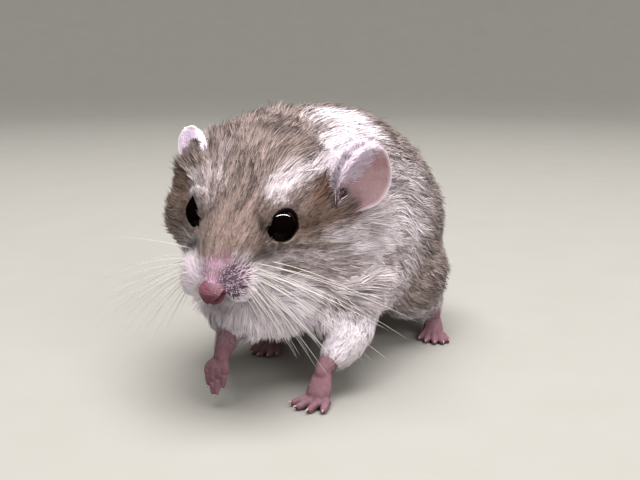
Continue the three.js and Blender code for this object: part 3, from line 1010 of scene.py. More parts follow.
@dataclass(frozen=True)
class BareSkin(Finish):
    """Thin, living skin with the blood showing through, creased and a little moist."""

    name: str = "bare_skin"
    roughness: float = 0.58
    ior: float = 1.4
    specular: float = 0.35
    scatter: float = 0.25
    colour: str = "#85626a"
    flush: str = "#70505a"
    pale: str = "#a17f88"
    deep: str = "#3a2022"
    grain: float = 1400.0  # cells for each metre, so creases about 0.7 mm apart, coarser than real
    depth: float = 0.00012

    def make(self) -> bpy.types.Material:
        """The material: two tones of pink in soft blotches, with creases."""
        made, tree = self.start()
        place = add_node(tree, "ShaderNodeTexCoord").outputs["Object"]
        blotch = add_node(tree, "ShaderNodeTexNoise", {"Vector": place, "Scale": 380.0, "Detail": 3.0})
        spread = add_node(
            tree, "ShaderNodeMapRange", {"Value": blotch.outputs["Fac"], "From Min": 0.38, "From Max": 0.66}
        )
        tone, dusk = (
            add_node(tree, "ShaderNodeAttribute", attribute_name=name).outputs["Fac"] for name in ("tone", "dusk")
        )
        colour = linear(self.colour)
        for share, over in ((spread.outputs["Result"], self.flush), (tone, self.pale), (dusk, self.deep)):
            inputs = {"Fac": share, "Color1": colour, "Color2": linear(over)}
            colour = add_node(tree, "ShaderNodeMixRGB", inputs).outputs["Color"]
        cells = add_node(tree, "ShaderNodeTexVoronoi", {"Vector": place, "Scale": self.grain}).outputs["Distance"]
        bump = add_node(tree, "ShaderNodeBump", {"Height": cells, "Strength": 0.6, "Distance": self.depth})
        inputs = {
            "Base Color": colour,
            "Normal": bump.outputs["Normal"],
            "Subsurface Radius": (0.0012, 0.0004, 0.0003),
            "Subsurface Scale": 1.0,
        }
        self.surface(tree, inputs)
        return made


@dataclass(frozen=True)
class WetEye(Finish):
    """A wet, nearly black eye under a clear cornea, which gives one hard bright highlight."""

    name: str = "wet_eye"
    roughness: float = 0.03
    ior: float = 1.2
    colour: str = "#050303"
    deep: str = "#0b0504"

    def make(self) -> bpy.types.Material:
        """The material: a near black with a film of tears."""
        made, tree = self.start()
        place = add_node(tree, "ShaderNodeTexCoord").outputs["Object"]
        cloud = add_node(tree, "ShaderNodeTexNoise", {"Vector": place, "Scale": 900.0}).outputs["Fac"]
        inputs = {"Fac": cloud, "Color1": linear(self.colour), "Color2": linear(self.deep)}
        colour = add_node(tree, "ShaderNodeMixRGB", inputs).outputs["Color"]
        self.surface(tree, {"Base Color": colour, "Coat Weight": 0.08, "Coat Roughness": 0.02})
        return made


@dataclass(frozen=True)
class Horn(Finish):
    """Clear keratin, as of claws and whiskers: smooth and pale."""

    name: str = "claw_horn"
    roughness: float = 0.32
    ior: float = 1.55
    base: str = "#b8989a"
    end: str = "#dccbc4"

    def make(self) -> bpy.types.Material:
        """The material, paler towards the tip."""
        made, tree = self.start()
        along = add_node(tree, "ShaderNodeAttribute", attribute_name="along").outputs["Fac"]
        inputs = {"Fac": along, "Color1": linear(self.base), "Color2": linear(self.end)}
        self.surface(tree, {"Base Color": add_node(tree, "ShaderNodeMixRGB", inputs).outputs["Color"]})
        return made


@dataclass(frozen=True)
class Finishes:
    """The finishes, made once and shared."""

    fur: bpy.types.Material
    down: bpy.types.Material
    skin: bpy.types.Material
    paw: bpy.types.Material
    ear: bpy.types.Material
    nose: bpy.types.Material
    tail: bpy.types.Material
    lid: bpy.types.Material
    eye: bpy.types.Material
    claw: bpy.types.Material
    whisker: bpy.types.Material

    @staticmethod
    def made() -> "Finishes":
        """All finishes of the animal."""
        return Finishes(
            fur=AgoutiFur().make(),
            down=AgoutiFur(name="ear_down", white="#fbf0fd", pink="#d39dbc").make(),
            skin=AgoutiFur(name="furred_skin", on_skin=True, roughness=0.8, sheen=0.0).make(),
            paw=BareSkin(name="paw_skin").make(),
            ear=BareSkin(name="ear_skin", colour="#b29599", flush="#a28088", pale="#ecdfea", scatter=0.2).make(),
            nose=BareSkin(name="nose_skin", colour="#744852", flush="#643a44", pale="#97708a", roughness=0.5,
                          grain=3200.0, depth=0.00016).make(),
            tail=BareSkin(name="tail_skin", colour="#b8938d", flush="#a67b77").make(),
            lid=BareSkin(name="lid_skin", colour="#a58f88", flush="#8d7770", pale="#cdbab4", deep="#150e0d",
                          roughness=0.4).make(),
            eye=WetEye().make(),
            claw=Horn().make(),
            whisker=Horn(name="whisker_horn", base="#ded8d4", end="#f6f3ef").make(),
        )


def dress(form: Form, name: str, finish: bpy.types.Material, slot: str, *nodes: str) -> bpy.types.Object:
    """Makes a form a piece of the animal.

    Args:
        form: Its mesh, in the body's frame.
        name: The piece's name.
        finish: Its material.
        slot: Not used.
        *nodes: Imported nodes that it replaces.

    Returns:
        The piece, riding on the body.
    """
    made = replace(form, points=form.points + SHIFT).piece(name)
    made.data.materials.append(finish)
    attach(made, "root")
    if nodes:
        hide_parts(*nodes)
    log.info("%s: %d faces", name, len(form.faces))
    return made


# The skin


@dataclass
class Skin:
    """One skin over head, trunk and upper legs, under the tips of the coat by its depth."""

    voxel: float = 0.5
    swell: float = 0.25  # closes the cuts between neighbouring solids
    rounds: int = 14  # of smoothing everywhere
    trunk_rounds: int = 110  # more over trunk and neck
    belly_rounds: int = 60  # and more again on their lower half
    pad: tuple = (3.2, 6.3, -2.3)
    pad_size: tuple = (2.4, 4.6, 3.3)
    nose: tuple = (-0.1, 1.8, -1.4)
    nose_size: tuple = (2.0, 2.2, 2.0)
    nodes: tuple = (
        "head", "lower_jaw", "neck", "torso", "rump",
        "foreleg_left", "foreleg_right", "hindleg_left", "hindleg_right",
    )
    form: Form | None = None
    normals: Array | None = None

    def gather(self) -> Form:
        """The flesh nodes, a little swollen, with plain forms for pads, nose and eyes."""
        forms = []
        for name in self.nodes:
            work = bmesh.new()
            work.from_mesh(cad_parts[name].data)
            bmesh.ops.remove_doubles(work, verts=work.verts, dist=1e-6)
            bmesh.ops.triangulate(work, faces=work.faces)
            work.normal_update()
            points = np.array([v.co / MM + v.normal * self.swell for v in work.verts]) - SHIFT
            faces = np.array([[v.index for v in f.verts] for f in work.faces])
            work.free()
            forms.append(Form(points, faces))
        grow = np.full(3, self.swell)
        for side in Side:
            mirror = np.array([side.value, 1, 1])
            pad = ball(HEAD.outside(np.array(self.pad) * mirror), self.pad_size + grow, HEAD.turn)
            eye = ball(HEAD.outside(HEAD.eye_at(side)), np.full(3, HEAD.eye_radius) + grow)
            forms += [self.halved(pad), self.halved(eye)]
        forms.append(self.halved(ball(HEAD.outside(np.array(self.nose)), self.nose_size + grow, HEAD.turn)))
        return Form.joined(forms)

    @staticmethod
    def halved(form: Form) -> Form:
        """The form with its quads cut into triangles."""
        return Form(form.points, np.vstack([form.faces[:, [0, 1, 2]], form.faces[:, [0, 2, 3]]]))

    def seat_eyes(self, form: Form) -> None:
        """Wraps the skin round each eyeball, with an opening where it looks out."""
        q = HEAD.inside(form.points)
        for side in Side:
            out = q - HEAD.eye_at(side)
            far, margin = HEAD.round_eye(q, side)
            ball_radius = HEAD.eye_radius
            near = 1 - smooth(far, ball_radius + 1.2, ball_radius + 2.6)
            inner = 1 - smooth(margin, 0, 7)
            outer = ball_radius + 0.15 + 0.45 * smooth(margin, 4, 12)
            target = blend(outer, ball_radius - 0.9, inner)
            reach = near * (1 - smooth(margin, 22, 48))
            q = q + unit(out) * ((target - far) * reach)[:, None]
        form.points = HEAD.outside(q)

    def build(self, finishes: Finishes) -> bpy.types.Object:
        """Makes the skin.

        Args:
            finishes: The shared finishes.

        Returns:
            The piece, which stands for all the nodes of flesh.
        """
        form = self.gather().remeshed(self.voxel)
        form.relax(self.rounds, 0.5, 0.5)
        q = HEAD.inside(form.points)
        trunk = (1 - FIELDS.headness(q)) * (1 - 0.8 * FIELDS.limbness(form.points))
        neck = smooth(q[:, 1], 17, 25)
        part = np.maximum(trunk, neck)
        form.relax(self.trunk_rounds, 0.5, 0.5, part)
        form.relax(self.belly_rounds, 0.5, 0.0, 0.9 * part * (1 - smooth(form.points[:, 2], 24, 36)))
        deep = FIELDS.depth(form.points) + self.swell
        form.points = form.points - form.normals() * deep[:, None]
        form.relax(4)
        self.seat_eyes(form)
        form.values = FIELDS.markings(form.points)
        form.values["along"] = np.full(len(form.points), 0.25)
        form.values["shade"] = 0.8 + 0.1 * ripple(form.points, 2.0, 6)
        self.form = form
        self.normals = form.normals()
        pads = [f"whisker_pad_{side.word}" for side in Side]
        made = dress(form, "skin", finishes.skin, "coat", *self.nodes, *pads)
        self.unwrap(made)
        made.visible_glossy = False
        return made

    def unwrap(self, made: bpy.types.Object) -> None:
        """Lays the skin out flat, for itself and for the roots of the coat.

        Args:
            made: The skin's object.
        """
        made.data.uv_layers.new(name=BAKE_MAP)
        bpy.context.view_layer.objects.active = made
        made.select_set(True)
        bpy.ops.object.mode_set(mode="EDIT")
        bpy.ops.mesh.select_all(action="SELECT")
        bpy.ops.uv.smart_project(angle_limit=math.radians(66), island_margin=0.002)
        bpy.ops.object.mode_set(mode="OBJECT")
        made.select_set(False)
        uv = np.empty(len(made.data.loops) * 2)
        made.data.uv_layers[BAKE_MAP].data.foreach_get("uv", uv)
        self.form.uv = uv.reshape(-1, 2)


# The coat


@dataclass
class Roots:
    """Where hairs grow, which way they lie, how long and wide they are, and how much they gather."""

    at: Array
    out: Array
    lie: Array
    length: Array
    width: Array
    lift: Array
    gather: Array
    uv: Array
    masks: dict[str, Array]

    def __len__(self) -> int:
        """How many tufts grow."""
        return len(self.at)

    def some(self, chosen: Array) -> "Roots":
        """The chosen roots alone."""
        rows = (self.at, self.out, self.lie, self.length, self.width, self.lift, self.gather, self.uv)
        return Roots(*(r[chosen] for r in rows), {k: v[chosen] for k, v in self.masks.items()})


@dataclass
class Coat:
    """Short soft fur, as tufts that lie over the skin in overlapping clumps."""

    skin: Skin
    count: int = 215000
    pieces: tuple = (
        "coat_muzzle", "coat_face", "coat_cheeks", "coat_nape",
        "coat_shoulders", "coat_back", "coat_flanks", "coat_rump",
    )
    clump: float = 14.0  # tufts in a clump of the body
    strand: float = 6.0  # tufts in a strand of the face
    patch: float = 0.003  # size of a tuft on the bake map
    sunk: float = 0.25  # how deep a root goes
    bends: tuple = (0.22, -0.26)  # how each half of a hair is turned from its lift, in radians

    def density(self, p: Array) -> Array:
        """Tufts for an area, as a share of the densest.

        Args:
            p: Points in the body's frame.

        Returns:
            One share for each point.
        """
        q = HEAD.inside(p)
        hd = FIELDS.headness(q)
        face = blend(1.0, 0.5, smooth(q[:, 1], 8, 26))
        marks = FIELDS.markings(p)
        face = face * (1 - np.maximum(0.8 * marks["bare"], 0.86 * marks["dusk"]))
        return blend(0.19 + 0.13 * (1 - smooth(p[:, 1], -14, 8)), face, hd)

    def sown(self, count: int, seed: int) -> Roots:
        """Draws roots over the skin.

        Args:
            count: How many.
            seed: Of the draw.

        Returns:
            Roots with the coat's own lengths and lie.
        """
        draw = np.random.default_rng(seed)
        form, normals = self.skin.form, self.skin.normals
        quads = form.faces
        corner = form.points[quads]
        area = np.linalg.norm(np.cross(corner[:, 2] - corner[:, 0], corner[:, 3] - corner[:, 1]), axis=1)
        middle = corner.mean(axis=1)
        weight = area * self.density(middle) * self.grows(middle)
        picked = draw.choice(len(quads), count, p=weight / weight.sum())
        u, v = draw.uniform(size=(2, count, 1))
        shares = np.stack([(1 - u) * (1 - v), u * (1 - v), u * v, (1 - u) * v], axis=1)
        at = (form.points[quads[picked]] * shares).sum(axis=1)
        out = unit((normals[quads[picked]] * shares).sum(axis=1))
        uv = (form.uv.reshape(-1, 4, 2)[picked] * shares).sum(axis=1)
        hd = FIELDS.headness(HEAD.inside(at))
        length = FIELDS.length(at)
        width = np.clip(0.03 + 0.0115 * length, 0.035, 0.1)
        gather = blend(1.0 - 0.6 * FIELDS.chest(at), smooth(HEAD.inside(at)[:, 1], 8, 30), hd)
        marks = FIELDS.markings(at)
        # Short bristles stand up from the dusky skin beside the nose.
        length = length * (1 - 0.55 * marks["dusk"])
        lift = FIELDS.lift(at) + 12.0 * marks["dusk"]
        lie = FIELDS.lie(at, out) + 0.5 * marks["dusk"][:, None] * draw.normal(size=(count, 3))
        return Roots(at, out, laid(lie, out), length, width, lift, gather, uv, marks)

    def grows(self, p: Array) -> Array:
        """1 where hair grows, and 0 on the nose, in the eyes and along the lips.

        Args:
            p: Points in the body's frame.

        Returns:
            One share for each point.
        """
        q = HEAD.inside(p)
        # Hair comes down over the upper half of the nose.
        keep = smooth(near_line(q * np.array([1, 1, 1.3]), [(-0.1, 1.2, -2.1)]), 2.0, 2.7)
        for side in Side:
            far, margin = HEAD.round_eye(q, side)
            keep = keep * np.where((far < HEAD.eye_radius + 1.5) & (margin < 3), 0.0, 1.0)
        return keep * (1 - 0.8 * FIELDS.at_wrist(p))

    def combed(self, roots: Roots, seed: int) -> tuple[Array, Array, Array]:
        """Bends the hairs over the skin and draws their tips together into clumps.

        Args:
            roots: Where they grow.
            seed: Of the draw.

        Returns:
            Their bases, middles and tips.
        """
        draw = np.random.default_rng(seed)
        n = len(roots)
        size = blend(self.strand, self.clump, roots.gather)
        heads = np.flatnonzero(draw.uniform(size=n) < 1 / size)
        tree = KDTree(len(heads))
        for i, k in enumerate(heads):
            tree.insert(roots.at[k], i)
        tree.balance()
        own = np.array([tree.find(p)[1] for p in roots.at])
        lot = draw.normal(size=(len(heads), 3)).clip(-2, 2)
        loose = 0.3 + 0.7 * roots.gather
        swing = np.radians(6.0 * draw.normal(size=n) + 10.0 * lot[own, 0]) * loose
        across = np.cross(roots.out, roots.lie)
        lie = roots.lie * np.cos(swing)[:, None] + across * np.sin(swing)[:, None]
        long = roots.length * (1 + 0.1 * draw.normal(size=n) + 0.07 * lot[own, 1])
        lift = np.radians(np.clip(roots.lift + 3.0 * draw.normal(size=n) + 3.0 * lot[own, 2], 4, 64))
        first, second = (
            lie * np.cos(lift + bend)[:, None] + roots.out * np.sin(lift + bend)[:, None] for bend in self.bends
        )
        base = roots.at - roots.out * self.sunk * np.minimum(1, roots.length / 3)[:, None]
        middle = base + first * (long * 0.5)[:, None]
        tip = middle + second * (long * 0.5)[:, None]
        target = tip[heads][own]
        away = np.linalg.norm(target - tip, axis=1)
        pull = ((0.1 + 0.22 * roots.gather) * np.clip(1 - away / (1.2 * long + 0.5), 0, 1))[:, None]
        tip = tip + (target - tip) * pull
        middle = middle + (middle[heads][own] - middle) * pull * 0.35
        for row in (middle, tip):
            row[:, 2] = np.maximum(row[:, 2], 0.1)
        return base, middle, tip

    def tufts(self, roots: Roots, seed: int, soft: float = 0.7) -> Form:
        """The hairs as slim closed spindles with three edges, bent at their middle.

        Args:
            roots: Where they grow.
            seed: Of the draw.
            soft: How much they shade as one surface.

        Returns:
            One form, with its masks and its bake map.
        """
        draw = np.random.default_rng(seed + 1)
        base, middle, tip = self.combed(roots, seed)
        n = len(roots)
        across = unit(np.cross(tip - base, roots.out))
        rise = unit(np.cross(across, tip - base))
        w = (roots.width * (1 + 0.2 * draw.normal(size=n)).clip(0.5, 1.6))[:, None]
        rows = [base, middle - across * w, middle + across * w, middle + rise * w * 0.9, tip]
        points = np.stack(rows, axis=1).reshape(-1, 3)
        pattern = np.array([[0, 1, 2], [0, 2, 3], [0, 3, 1], [2, 1, 4], [3, 2, 4], [1, 3, 4]])
        faces = (np.arange(n)[:, None, None] * 5 + pattern).reshape(-1, 3)
        # Light falls on the coat as on one soft surface, and only partly on each hair.
        own = np.stack([rise, rise - across, rise + across, rise, rise], axis=1)
        shading = unit(own + soft * roots.out[:, None, :]).reshape(-1, 3)
        fine = strands(roots.at, roots.lie, 0.3, 3.2, SEED)
        broad = strands(roots.at, roots.lie, 0.8, 5.0, SEED + 1)
        band = 0.6 * fine + 0.7 * broad
        dark, white = roots.masks["dark"], roots.masks["white"]
        ticked = np.clip(1.15 * dark + (0.34 * band + 0.2 * draw.normal(size=n)) * smooth(dark, 0, 0.3), 0, 1)
        shade = np.clip(0.94 - 0.13 * band + 0.07 * draw.normal(size=n), 0.45, 1.35)
        shade = blend(shade, 1.0 + 0.4 * (shade - 1.0), white)
        white = np.clip(white - (0.2 * band + 0.08 * draw.normal(size=n)) * 4 * white * (1 - white), 0, 1)
        per_tuft = {
            "shade": shade,
            "white": white,
            "warm": roots.masks["warm"],
            "dark": ticked,
            "bare": roots.masks["bare"],
        }
        values = {k: np.repeat(v, 5) for k, v in per_tuft.items()}
        values["along"] = np.tile(np.array([0.0, 0.5, 0.5, 0.5, 1.0]), n)
        spots = np.array([[0, -1], [-1, 0], [1, 0], [0, 0], [0, 1]]) * (self.patch / 2)
        uv = np.clip(roots.uv[:, None, :] + spots[None], 0.0, 1.0)[:, pattern.ravel()].reshape(-1, 2)
        return Form(points, faces, values, uv, shading)

    def build(self, finishes: Finishes) -> None:
        """Sows the coat and parts it into pieces from nose to tail.

        Args:
            finishes: The shared finishes.
        """
        roots = self.sown(self.count, SEED)
        order = np.argsort(roots.at[:, 1])
        for k, (name, chosen) in enumerate(zip(self.pieces, np.array_split(order, len(self.pieces)))):
            made = dress(self.tufts(roots.some(chosen), SEED + 10 * k), name, finishes.fur, "coat")
            # No hair breaks the highlight in an eye.
            made.visible_glossy = False


# The face


@dataclass
class Eyes:
    """Bulging black eyes, each with a rim of lids round it."""

    points: int = 120  # round each lid

    def eyeball(self, side: Side) -> Form:
        """A smooth ball with a slightly steeper cornea.

        Args:
            side: Which eye.

        Returns:
            The form, in the body's frame.
        """
        form = ball(np.zeros(3), np.full(3, HEAD.eye_radius), around=64, down=48)
        ahead = np.clip(unit(form.points) @ HEAD.eye_towards(side), 0, 1)
        form.points = form.points * (1 + 0.01 * ahead**4 - 0.05 * (1 - ahead) ** 2)[:, None]
        form.points = HEAD.outside(form.points + HEAD.eye_at(side))
        return form

    def lids(self, side: Side) -> Form:
        """The ring of both lids: a thin dark edge that widens into the skin.

        Args:
            side: Which eye.

        Returns:
            The form, dark on the edge and pale along the lower lid.
        """
        facing, back, up = HEAD.eye_axes(side)
        angle = np.linspace(0, 2 * math.pi, self.points, endpoint=False)
        edge = HEAD.lid_edge(angle, side)
        lower = smooth(-np.sin(angle + 0.45), 0.2, 0.8)
        # Degrees past the edge, height, and darkness of the upper and of the lower lid
        profile = [
            (-1.5, -0.5, 1.0, 1.0), (-1.0, 0.0, 1.0, 1.0), (0.0, 0.1, 1.0, 0.6), (1.5, 0.2, 1.0, 0.05),
            (3.5, 0.32, 0.9, 0.0), (6.0, 0.3, 0.75, 0.1), (9.0, 0.12, 0.6, 0.4), (15.0, -0.2, 0.4, 0.4),
            (22.0, -0.5, 0.4, 0.4), (12.0, -0.9, 0.4, 0.4),
        ]
        rings, dusk, tone = [], [], []
        for spread, height, dark, below in profile:
            a = np.radians(edge + spread)
            ring = (
                np.cos(a)[:, None] * facing
                + np.sin(a)[:, None] * (np.cos(angle)[:, None] * back + np.sin(angle)[:, None] * up)
            )
            rings.append(ring * (HEAD.eye_radius + height))
            dusk.append(blend(dark, below, lower))
            tone.append(lower * (0 <= spread < 5))
        values = {"dusk": np.concatenate(dusk), "tone": np.concatenate(tone)}
        form = Form(np.vstack(rings), ring_faces(self.points, len(rings), capped=False), values)
        if side is Side.RIGHT:
            form.faces = form.faces[:, ::-1]
        form.points = HEAD.outside(form.points + HEAD.eye_at(side))
        return form

    def build(self, finishes: Finishes) -> None:
        """Makes both eyes.

        Args:
            finishes: The shared finishes.
        """
        for side in Side:
            dress(self.eyeball(side), f"eyeball_{side.word}", finishes.eye, "eye", f"eye_{side.word}")
            dress(self.lids(side), f"lids_{side.word}", finishes.lid, "coat")


@dataclass
class Nose:
    """A rounded, bare, pink nose with a slit nostril on each side and a groove below."""

    at: tuple = (-0.1, 1.7, -1.5)
    size: tuple = (2.15, 2.3, 2.2)

    def build(self, finishes: Finishes) -> None:
        """Makes the nose.

        Args:
            finishes: The shared finishes.
        """
        form = ball(np.zeros(3), self.size, around=96, down=64)
        q = form.points + np.array(self.at)
        out = unit(form.points)
        m = q.copy()
        m[:, 0] = np.abs(m[:, 0] - self.at[0])
        slit = near_line(m, [(1.1, -0.1, -2.3), (1.7, 0.4, -2.0), (2.0, 1.1, -1.5)])
        nostril = 0.85 * np.exp(-((slit / 0.36) ** 2)) - 0.16 * np.exp(-(((slit - 0.75) / 0.3) ** 2))
        groove = 0.3 * np.exp(-((m[:, 0] / 0.2) ** 2)) * (1 - smooth(q[:, 2], -3.0, -1.8))
        crease = 0.1 * np.exp(-((m[:, 0] / 0.25) ** 2)) * (1 - smooth(q[:, 2], -2.0, -0.2))
        q = q - out * (nostril + groove + crease)[:, None]
        # Its upper half sinks back into the muzzle.
        q = q + np.array([0.0, 0.5, -0.45]) * smooth(q[:, 2:], -1.2, 0.9)
        form.points = HEAD.outside(q)
        # The nostrils and the groove below are painted dark, as painted shade inside them
        form.values = {
            "dusk": np.clip(1.6 * np.exp(-((slit / 0.36) ** 2)) + 0.8 * groove, 0, 1),
            "tone": smooth(q[:, 2], -0.6, 1.0) * smooth(q[:, 1], -0.5, 2.0),
        }
        dress(form, "nose_pad", finishes.nose, "nose_skin", "nose")


class EarHair(IntEnum):
    """The places on an ear where its hairs grow."""

    BACK = 0
    FRINGE = 1  # inside the front edge
    INSIDE = 2
    EDGE = 3  # on the front edge itself


@dataclass
class Ears:
    """Two thin, round, cupped ears, nearly bare inside and downy along the front edge."""

    width: float = 11.5
    thick: float = 0.42
    curls: tuple = ((4.25, 2.55), (1.6, 2.2))  # at foot and tip, for the left and the right ear
    hollow: float = 1.6
    neck: float = 0.86
    flare: float = 0.3
    root: float = 0.12
    hairs: int = 7500  # on each ear
    mix: tuple = (0.32, 0.49, 0.01, 0.18)  # shares of the kinds of ear hair
    ears: dict = field(
        default_factory=lambda: {
            Side.LEFT: ((16.2, 26, 1.2), 14.5, (0.45, 0.47, 0.76), (0.72, -0.62, 0.2)),
            Side.RIGHT: ((-11.9, 28.2, 1.3), 12.2, (-0.1, 0.25, 0.95), (-0.6, -0.8, 0.1)),
        }
    )

    def frame_of(self, side: Side) -> tuple[Array, Array, Array, Array, float]:
        """The ear's foot, its three directions and its length, in the head's frame.

        Args:
            side: Which ear.

        Returns:
            The foot, the ways along, out of the opening and across, and the length.
        """
        at, length, along, opens = self.ears[side]
        along = unit(np.array(along))
        opens = unit(np.array(opens) - along * (np.array(opens) @ along))
        return np.array(at, dtype=float), along, opens, np.cross(along, opens), length

    def leaf(self, side: Side, x: Array, share: Array, lift: Array) -> Array:
        """Points on the ear's curved leaf.

        Args:
            side: Which ear.
            x: Place across, -1 to 1.
            share: Place along, 0 at the foot to 1 at the tip.
            lift: Height above the leaf's middle, towards the side that it opens to.

        Returns:
            Points in the head's frame.
        """
        at, along, opens, across, length = self.frame_of(side)
        belly = np.sin(math.pi * np.clip(share, 0, 1))
        egg = (self.neck + self.flare * belly * share) * (0.55 + 0.45 * smooth(share, 0.0, 0.4))
        foot, tip = side.of(self.curls)
        bend = blend(np.array(foot), np.array(tip), share) * x * x - self.hollow * belly
        return (
            at
            + ((share - self.root) * length)[:, None] * along
            + (x * egg * self.width / 2)[:, None] * across
            + (bend + lift)[:, None] * opens
        )

    def front(self, side: Side) -> float:
        """The sign of x along the ear's front edge."""
        return 1.0 if self.frame_of(side)[3][1] < 0 else -1.0

    def shell(self, side: Side) -> Form:
        """The ear's shell.

        Args:
            side: Which ear.

        Returns:
            The form, with a tone that is 1 along the pale rim.
        """
        around, down = 96, 72
        form = ball(np.zeros(3), np.ones(3), turn=turn_about("X", -90), around=around, down=down)
        x, y, z = form.points.T
        share = (1 + y) / 2
        edge = np.hypot(x, y)
        rim = np.exp(-(((edge - 0.97) / 0.05) ** 2))
        thick = self.thick * (1 + 1.6 * (1 - smooth(share, 0.05, 0.3)) + 0.9 * rim)
        folds = 0.28 * np.exp(-((x - 0.15 + 0.5 * share) ** 2) / 0.012)
        folds = folds * smooth(share, 0.15, 0.3) * (1 - smooth(share, 0.5, 0.8))
        lift = np.sign(z) * np.abs(z) ** 0.35 * thick / 2 + np.where(z > 0, folds, 0.0)
        form.points = HEAD.outside(self.leaf(side, x, share, lift))
        front = self.front(side)
        canal = np.exp(-(((x - 0.25 * front) / 0.36) ** 2) - (((share - 0.25) / 0.1) ** 2)) * (z > 0)
        outer = 0.5 * (z < 0) + 0.35 * smooth(front * x, -0.2, 0.6) * (z > 0) + 0.8 * smooth(front * x, 0.5, 0.9)
        low = side.of((1.0, 0.0)) * smooth(front * x, 0.3, 0.6) * (1 - smooth(share, 0.26, 0.42))
        # The right ear is painted pale all over, as painted light that shines through its thin leaf
        outer = outer * (1 - low) + side.of((0.0, 0.9))
        pale = 0.7 * (1 - low) * smooth(edge, 0.88, 0.99) * smooth(share, 0.1, 0.3)
        # The left ear's opening and the notch before it are painted dark as the shade in them, and the leaf
        # darkens a little towards its foot
        deep = side.of((1.3, 0.2)) * canal + 0.5 * low + 0.1 * (1 - smooth(share, 0.15, 0.6))
        form.values = {"tone": np.clip(np.maximum(pale, outer), 0, 1), "dusk": np.clip(deep, 0, 0.95)}
        a, b, c = (form.points[form.faces[:, k]] for k in (0, 1, 2))
        if (np.cross(b - a, c - a) * (a - form.points.mean(axis=0))).sum() < 0:
            form.faces = form.faces[:, ::-1]
        return form

    def placed(self, side: Side, draw: np.random.Generator) -> tuple[Array, Array, Array, Array, Array]:
        """Draws where the hairs of an ear grow.

        Args:
            side: Which ear.
            draw: The ear's random draw.

        Returns:
            For each hair its kind, its places across and along, half the leaf's width there, and how far in it is.
        """
        n, front = self.hairs, self.front(side)
        kind = draw.choice(len(EarHair), n, p=self.mix)
        fringe, on_edge = kind == EarHair.FRINGE, kind == EarHair.EDGE
        share = np.where(fringe, draw.uniform(0.04, 0.92, n), draw.uniform(0.1, 0.95, n))
        if side is Side.RIGHT:
            share = 0.42 + 0.53 * share  # the coat hides the rest
        half = np.sqrt(np.clip(1 - (2 * share - 1) ** 2, 0, 1))
        inward = side.of((1.0, 1.7)) * draw.uniform(0, 1, n) ** side.of((2.0, 1.2))
        x = np.where(fringe, front * (1.04 - inward), draw.uniform(-0.97, 0.97, n)) * half
        x = np.where(on_edge, front * draw.uniform(0.97, 1.1, n) * half, x)
        share = np.where(on_edge & (share < 0.3), share + 0.45, share)
        # Few hairs of the left ear grow over its canal.
        canal = (front * x > -0.1) & (share < 0.36)
        canal = canal & (draw.uniform(0, 1, n) < side.of((0.9, 0.0)))
        share = np.where(canal & fringe, share + 0.38, share)
        return kind, x, share, half, inward

    def down(self, coat: Coat, side: Side) -> Form:
        """Fine hair on the back, along the front edge and a little inside.

        Args:
            coat: Combs the hair.
            side: Which ear.

        Returns:
            The tufts.
        """
        draw = np.random.default_rng(SEED + 40 + side.value)
        n, front = self.hairs, self.front(side)
        kind, x, share, half, inward = self.placed(side, draw)
        back, fringe, on_edge = (kind == k for k in (EarHair.BACK, EarHair.FRINGE, EarHair.EDGE))
        outer = np.where(back, -1.0, 1.0)
        over = self.thick / 2 + 0.25 * (fringe & (np.abs(x) > 0.85 * half))
        over = np.where(on_edge, draw.uniform(-0.9, 0.9, n) * self.thick, over)
        p = self.leaf(side, x, share, outer * over)
        step = 0.01
        run = self.leaf(side, x, share + step, outer * self.thick / 2) - p
        cross = self.leaf(side, x + step, share, outer * self.thick / 2) - p
        out = unit(np.cross(cross, run)) * outer[:, None]
        middle = np.argmin(np.abs(x) + np.abs(share - 0.5))
        out = out * np.sign(out[middle] @ self.frame_of(side)[2] * outer[middle])
        out = np.where(on_edge[:, None], unit(front * unit(cross) + 0.3 * out), out)
        rim = back * smooth(front * x / half, 0.1, 0.6)
        sweep = np.select([back, fringe], [0.35 - 0.7 * rim, 1.7 - 0.9 * share], 0.5)[:, None]
        lie = laid(unit(unit(run) - sweep * front * unit(cross) + 0.16 * draw.normal(size=(n, 3))), out)
        length = np.select([back, fringe], [1.6 + 1.6 * rim, 6.8], 0.9) * draw.uniform(0.3, 1.25, n)
        length = np.where(on_edge, 4.0, length) * side.of((1.0, 0.4))
        length = length * side.of((0.35 + 0.65 * smooth(share, 0.25, 0.5), 1.0))
        length = length * (1 - 0.5 * share) * np.where(fringe, 0.45 + 0.55 * np.abs(x) / half, 1.0)
        width = np.select([kind == EarHair.INSIDE, fringe], [0.02, 0.036], 0.04)
        pink = side.of((0.1 + 0.4 * (1 - share) + 0.8 * smooth(inward, 0.15, 0.8), 0.0))
        pink = 0.4 * strands(p, lie, 0.5, 4.0, SEED) + pink
        masks = {
            "white": np.where(back, 0.6 + 0.4 * rim, 1.0),
            "warm": np.full(n, 0.1),
            "dark": np.zeros(n),
            "bare": np.where(back, rim, 1.0) * np.clip(pink, 0, 0.9),
        }
        uv = np.column_stack([(x + 1) / 2, share])
        out, lie = out @ HEAD.turn.T, lie @ HEAD.turn.T
        roots = Roots(HEAD.outside(p), out, lie, length, width, 13.0 + 8.0 * rim, np.full(n, 0.5), uv, masks)
        form = coat.tufts(roots, SEED + 50 + side.value, 0.6)
        # Light comes through the thin ear as well as on it.
        form.shading = unit(form.shading + np.array([0.0, -0.5, 1.3]))
        return form

    def build(self, finishes: Finishes, coat: Coat) -> None:
        """Makes both ears.

        Args:
            finishes: The shared finishes.
            coat: Combs their hair.
        """
        for side in Side:
            dress(self.shell(side), f"ear_shell_{side.word}", finishes.ear, "ear_skin", f"ear_{side.word}")
            dress(self.down(coat, side), f"ear_down_{side.word}", finishes.down, "ear_skin")


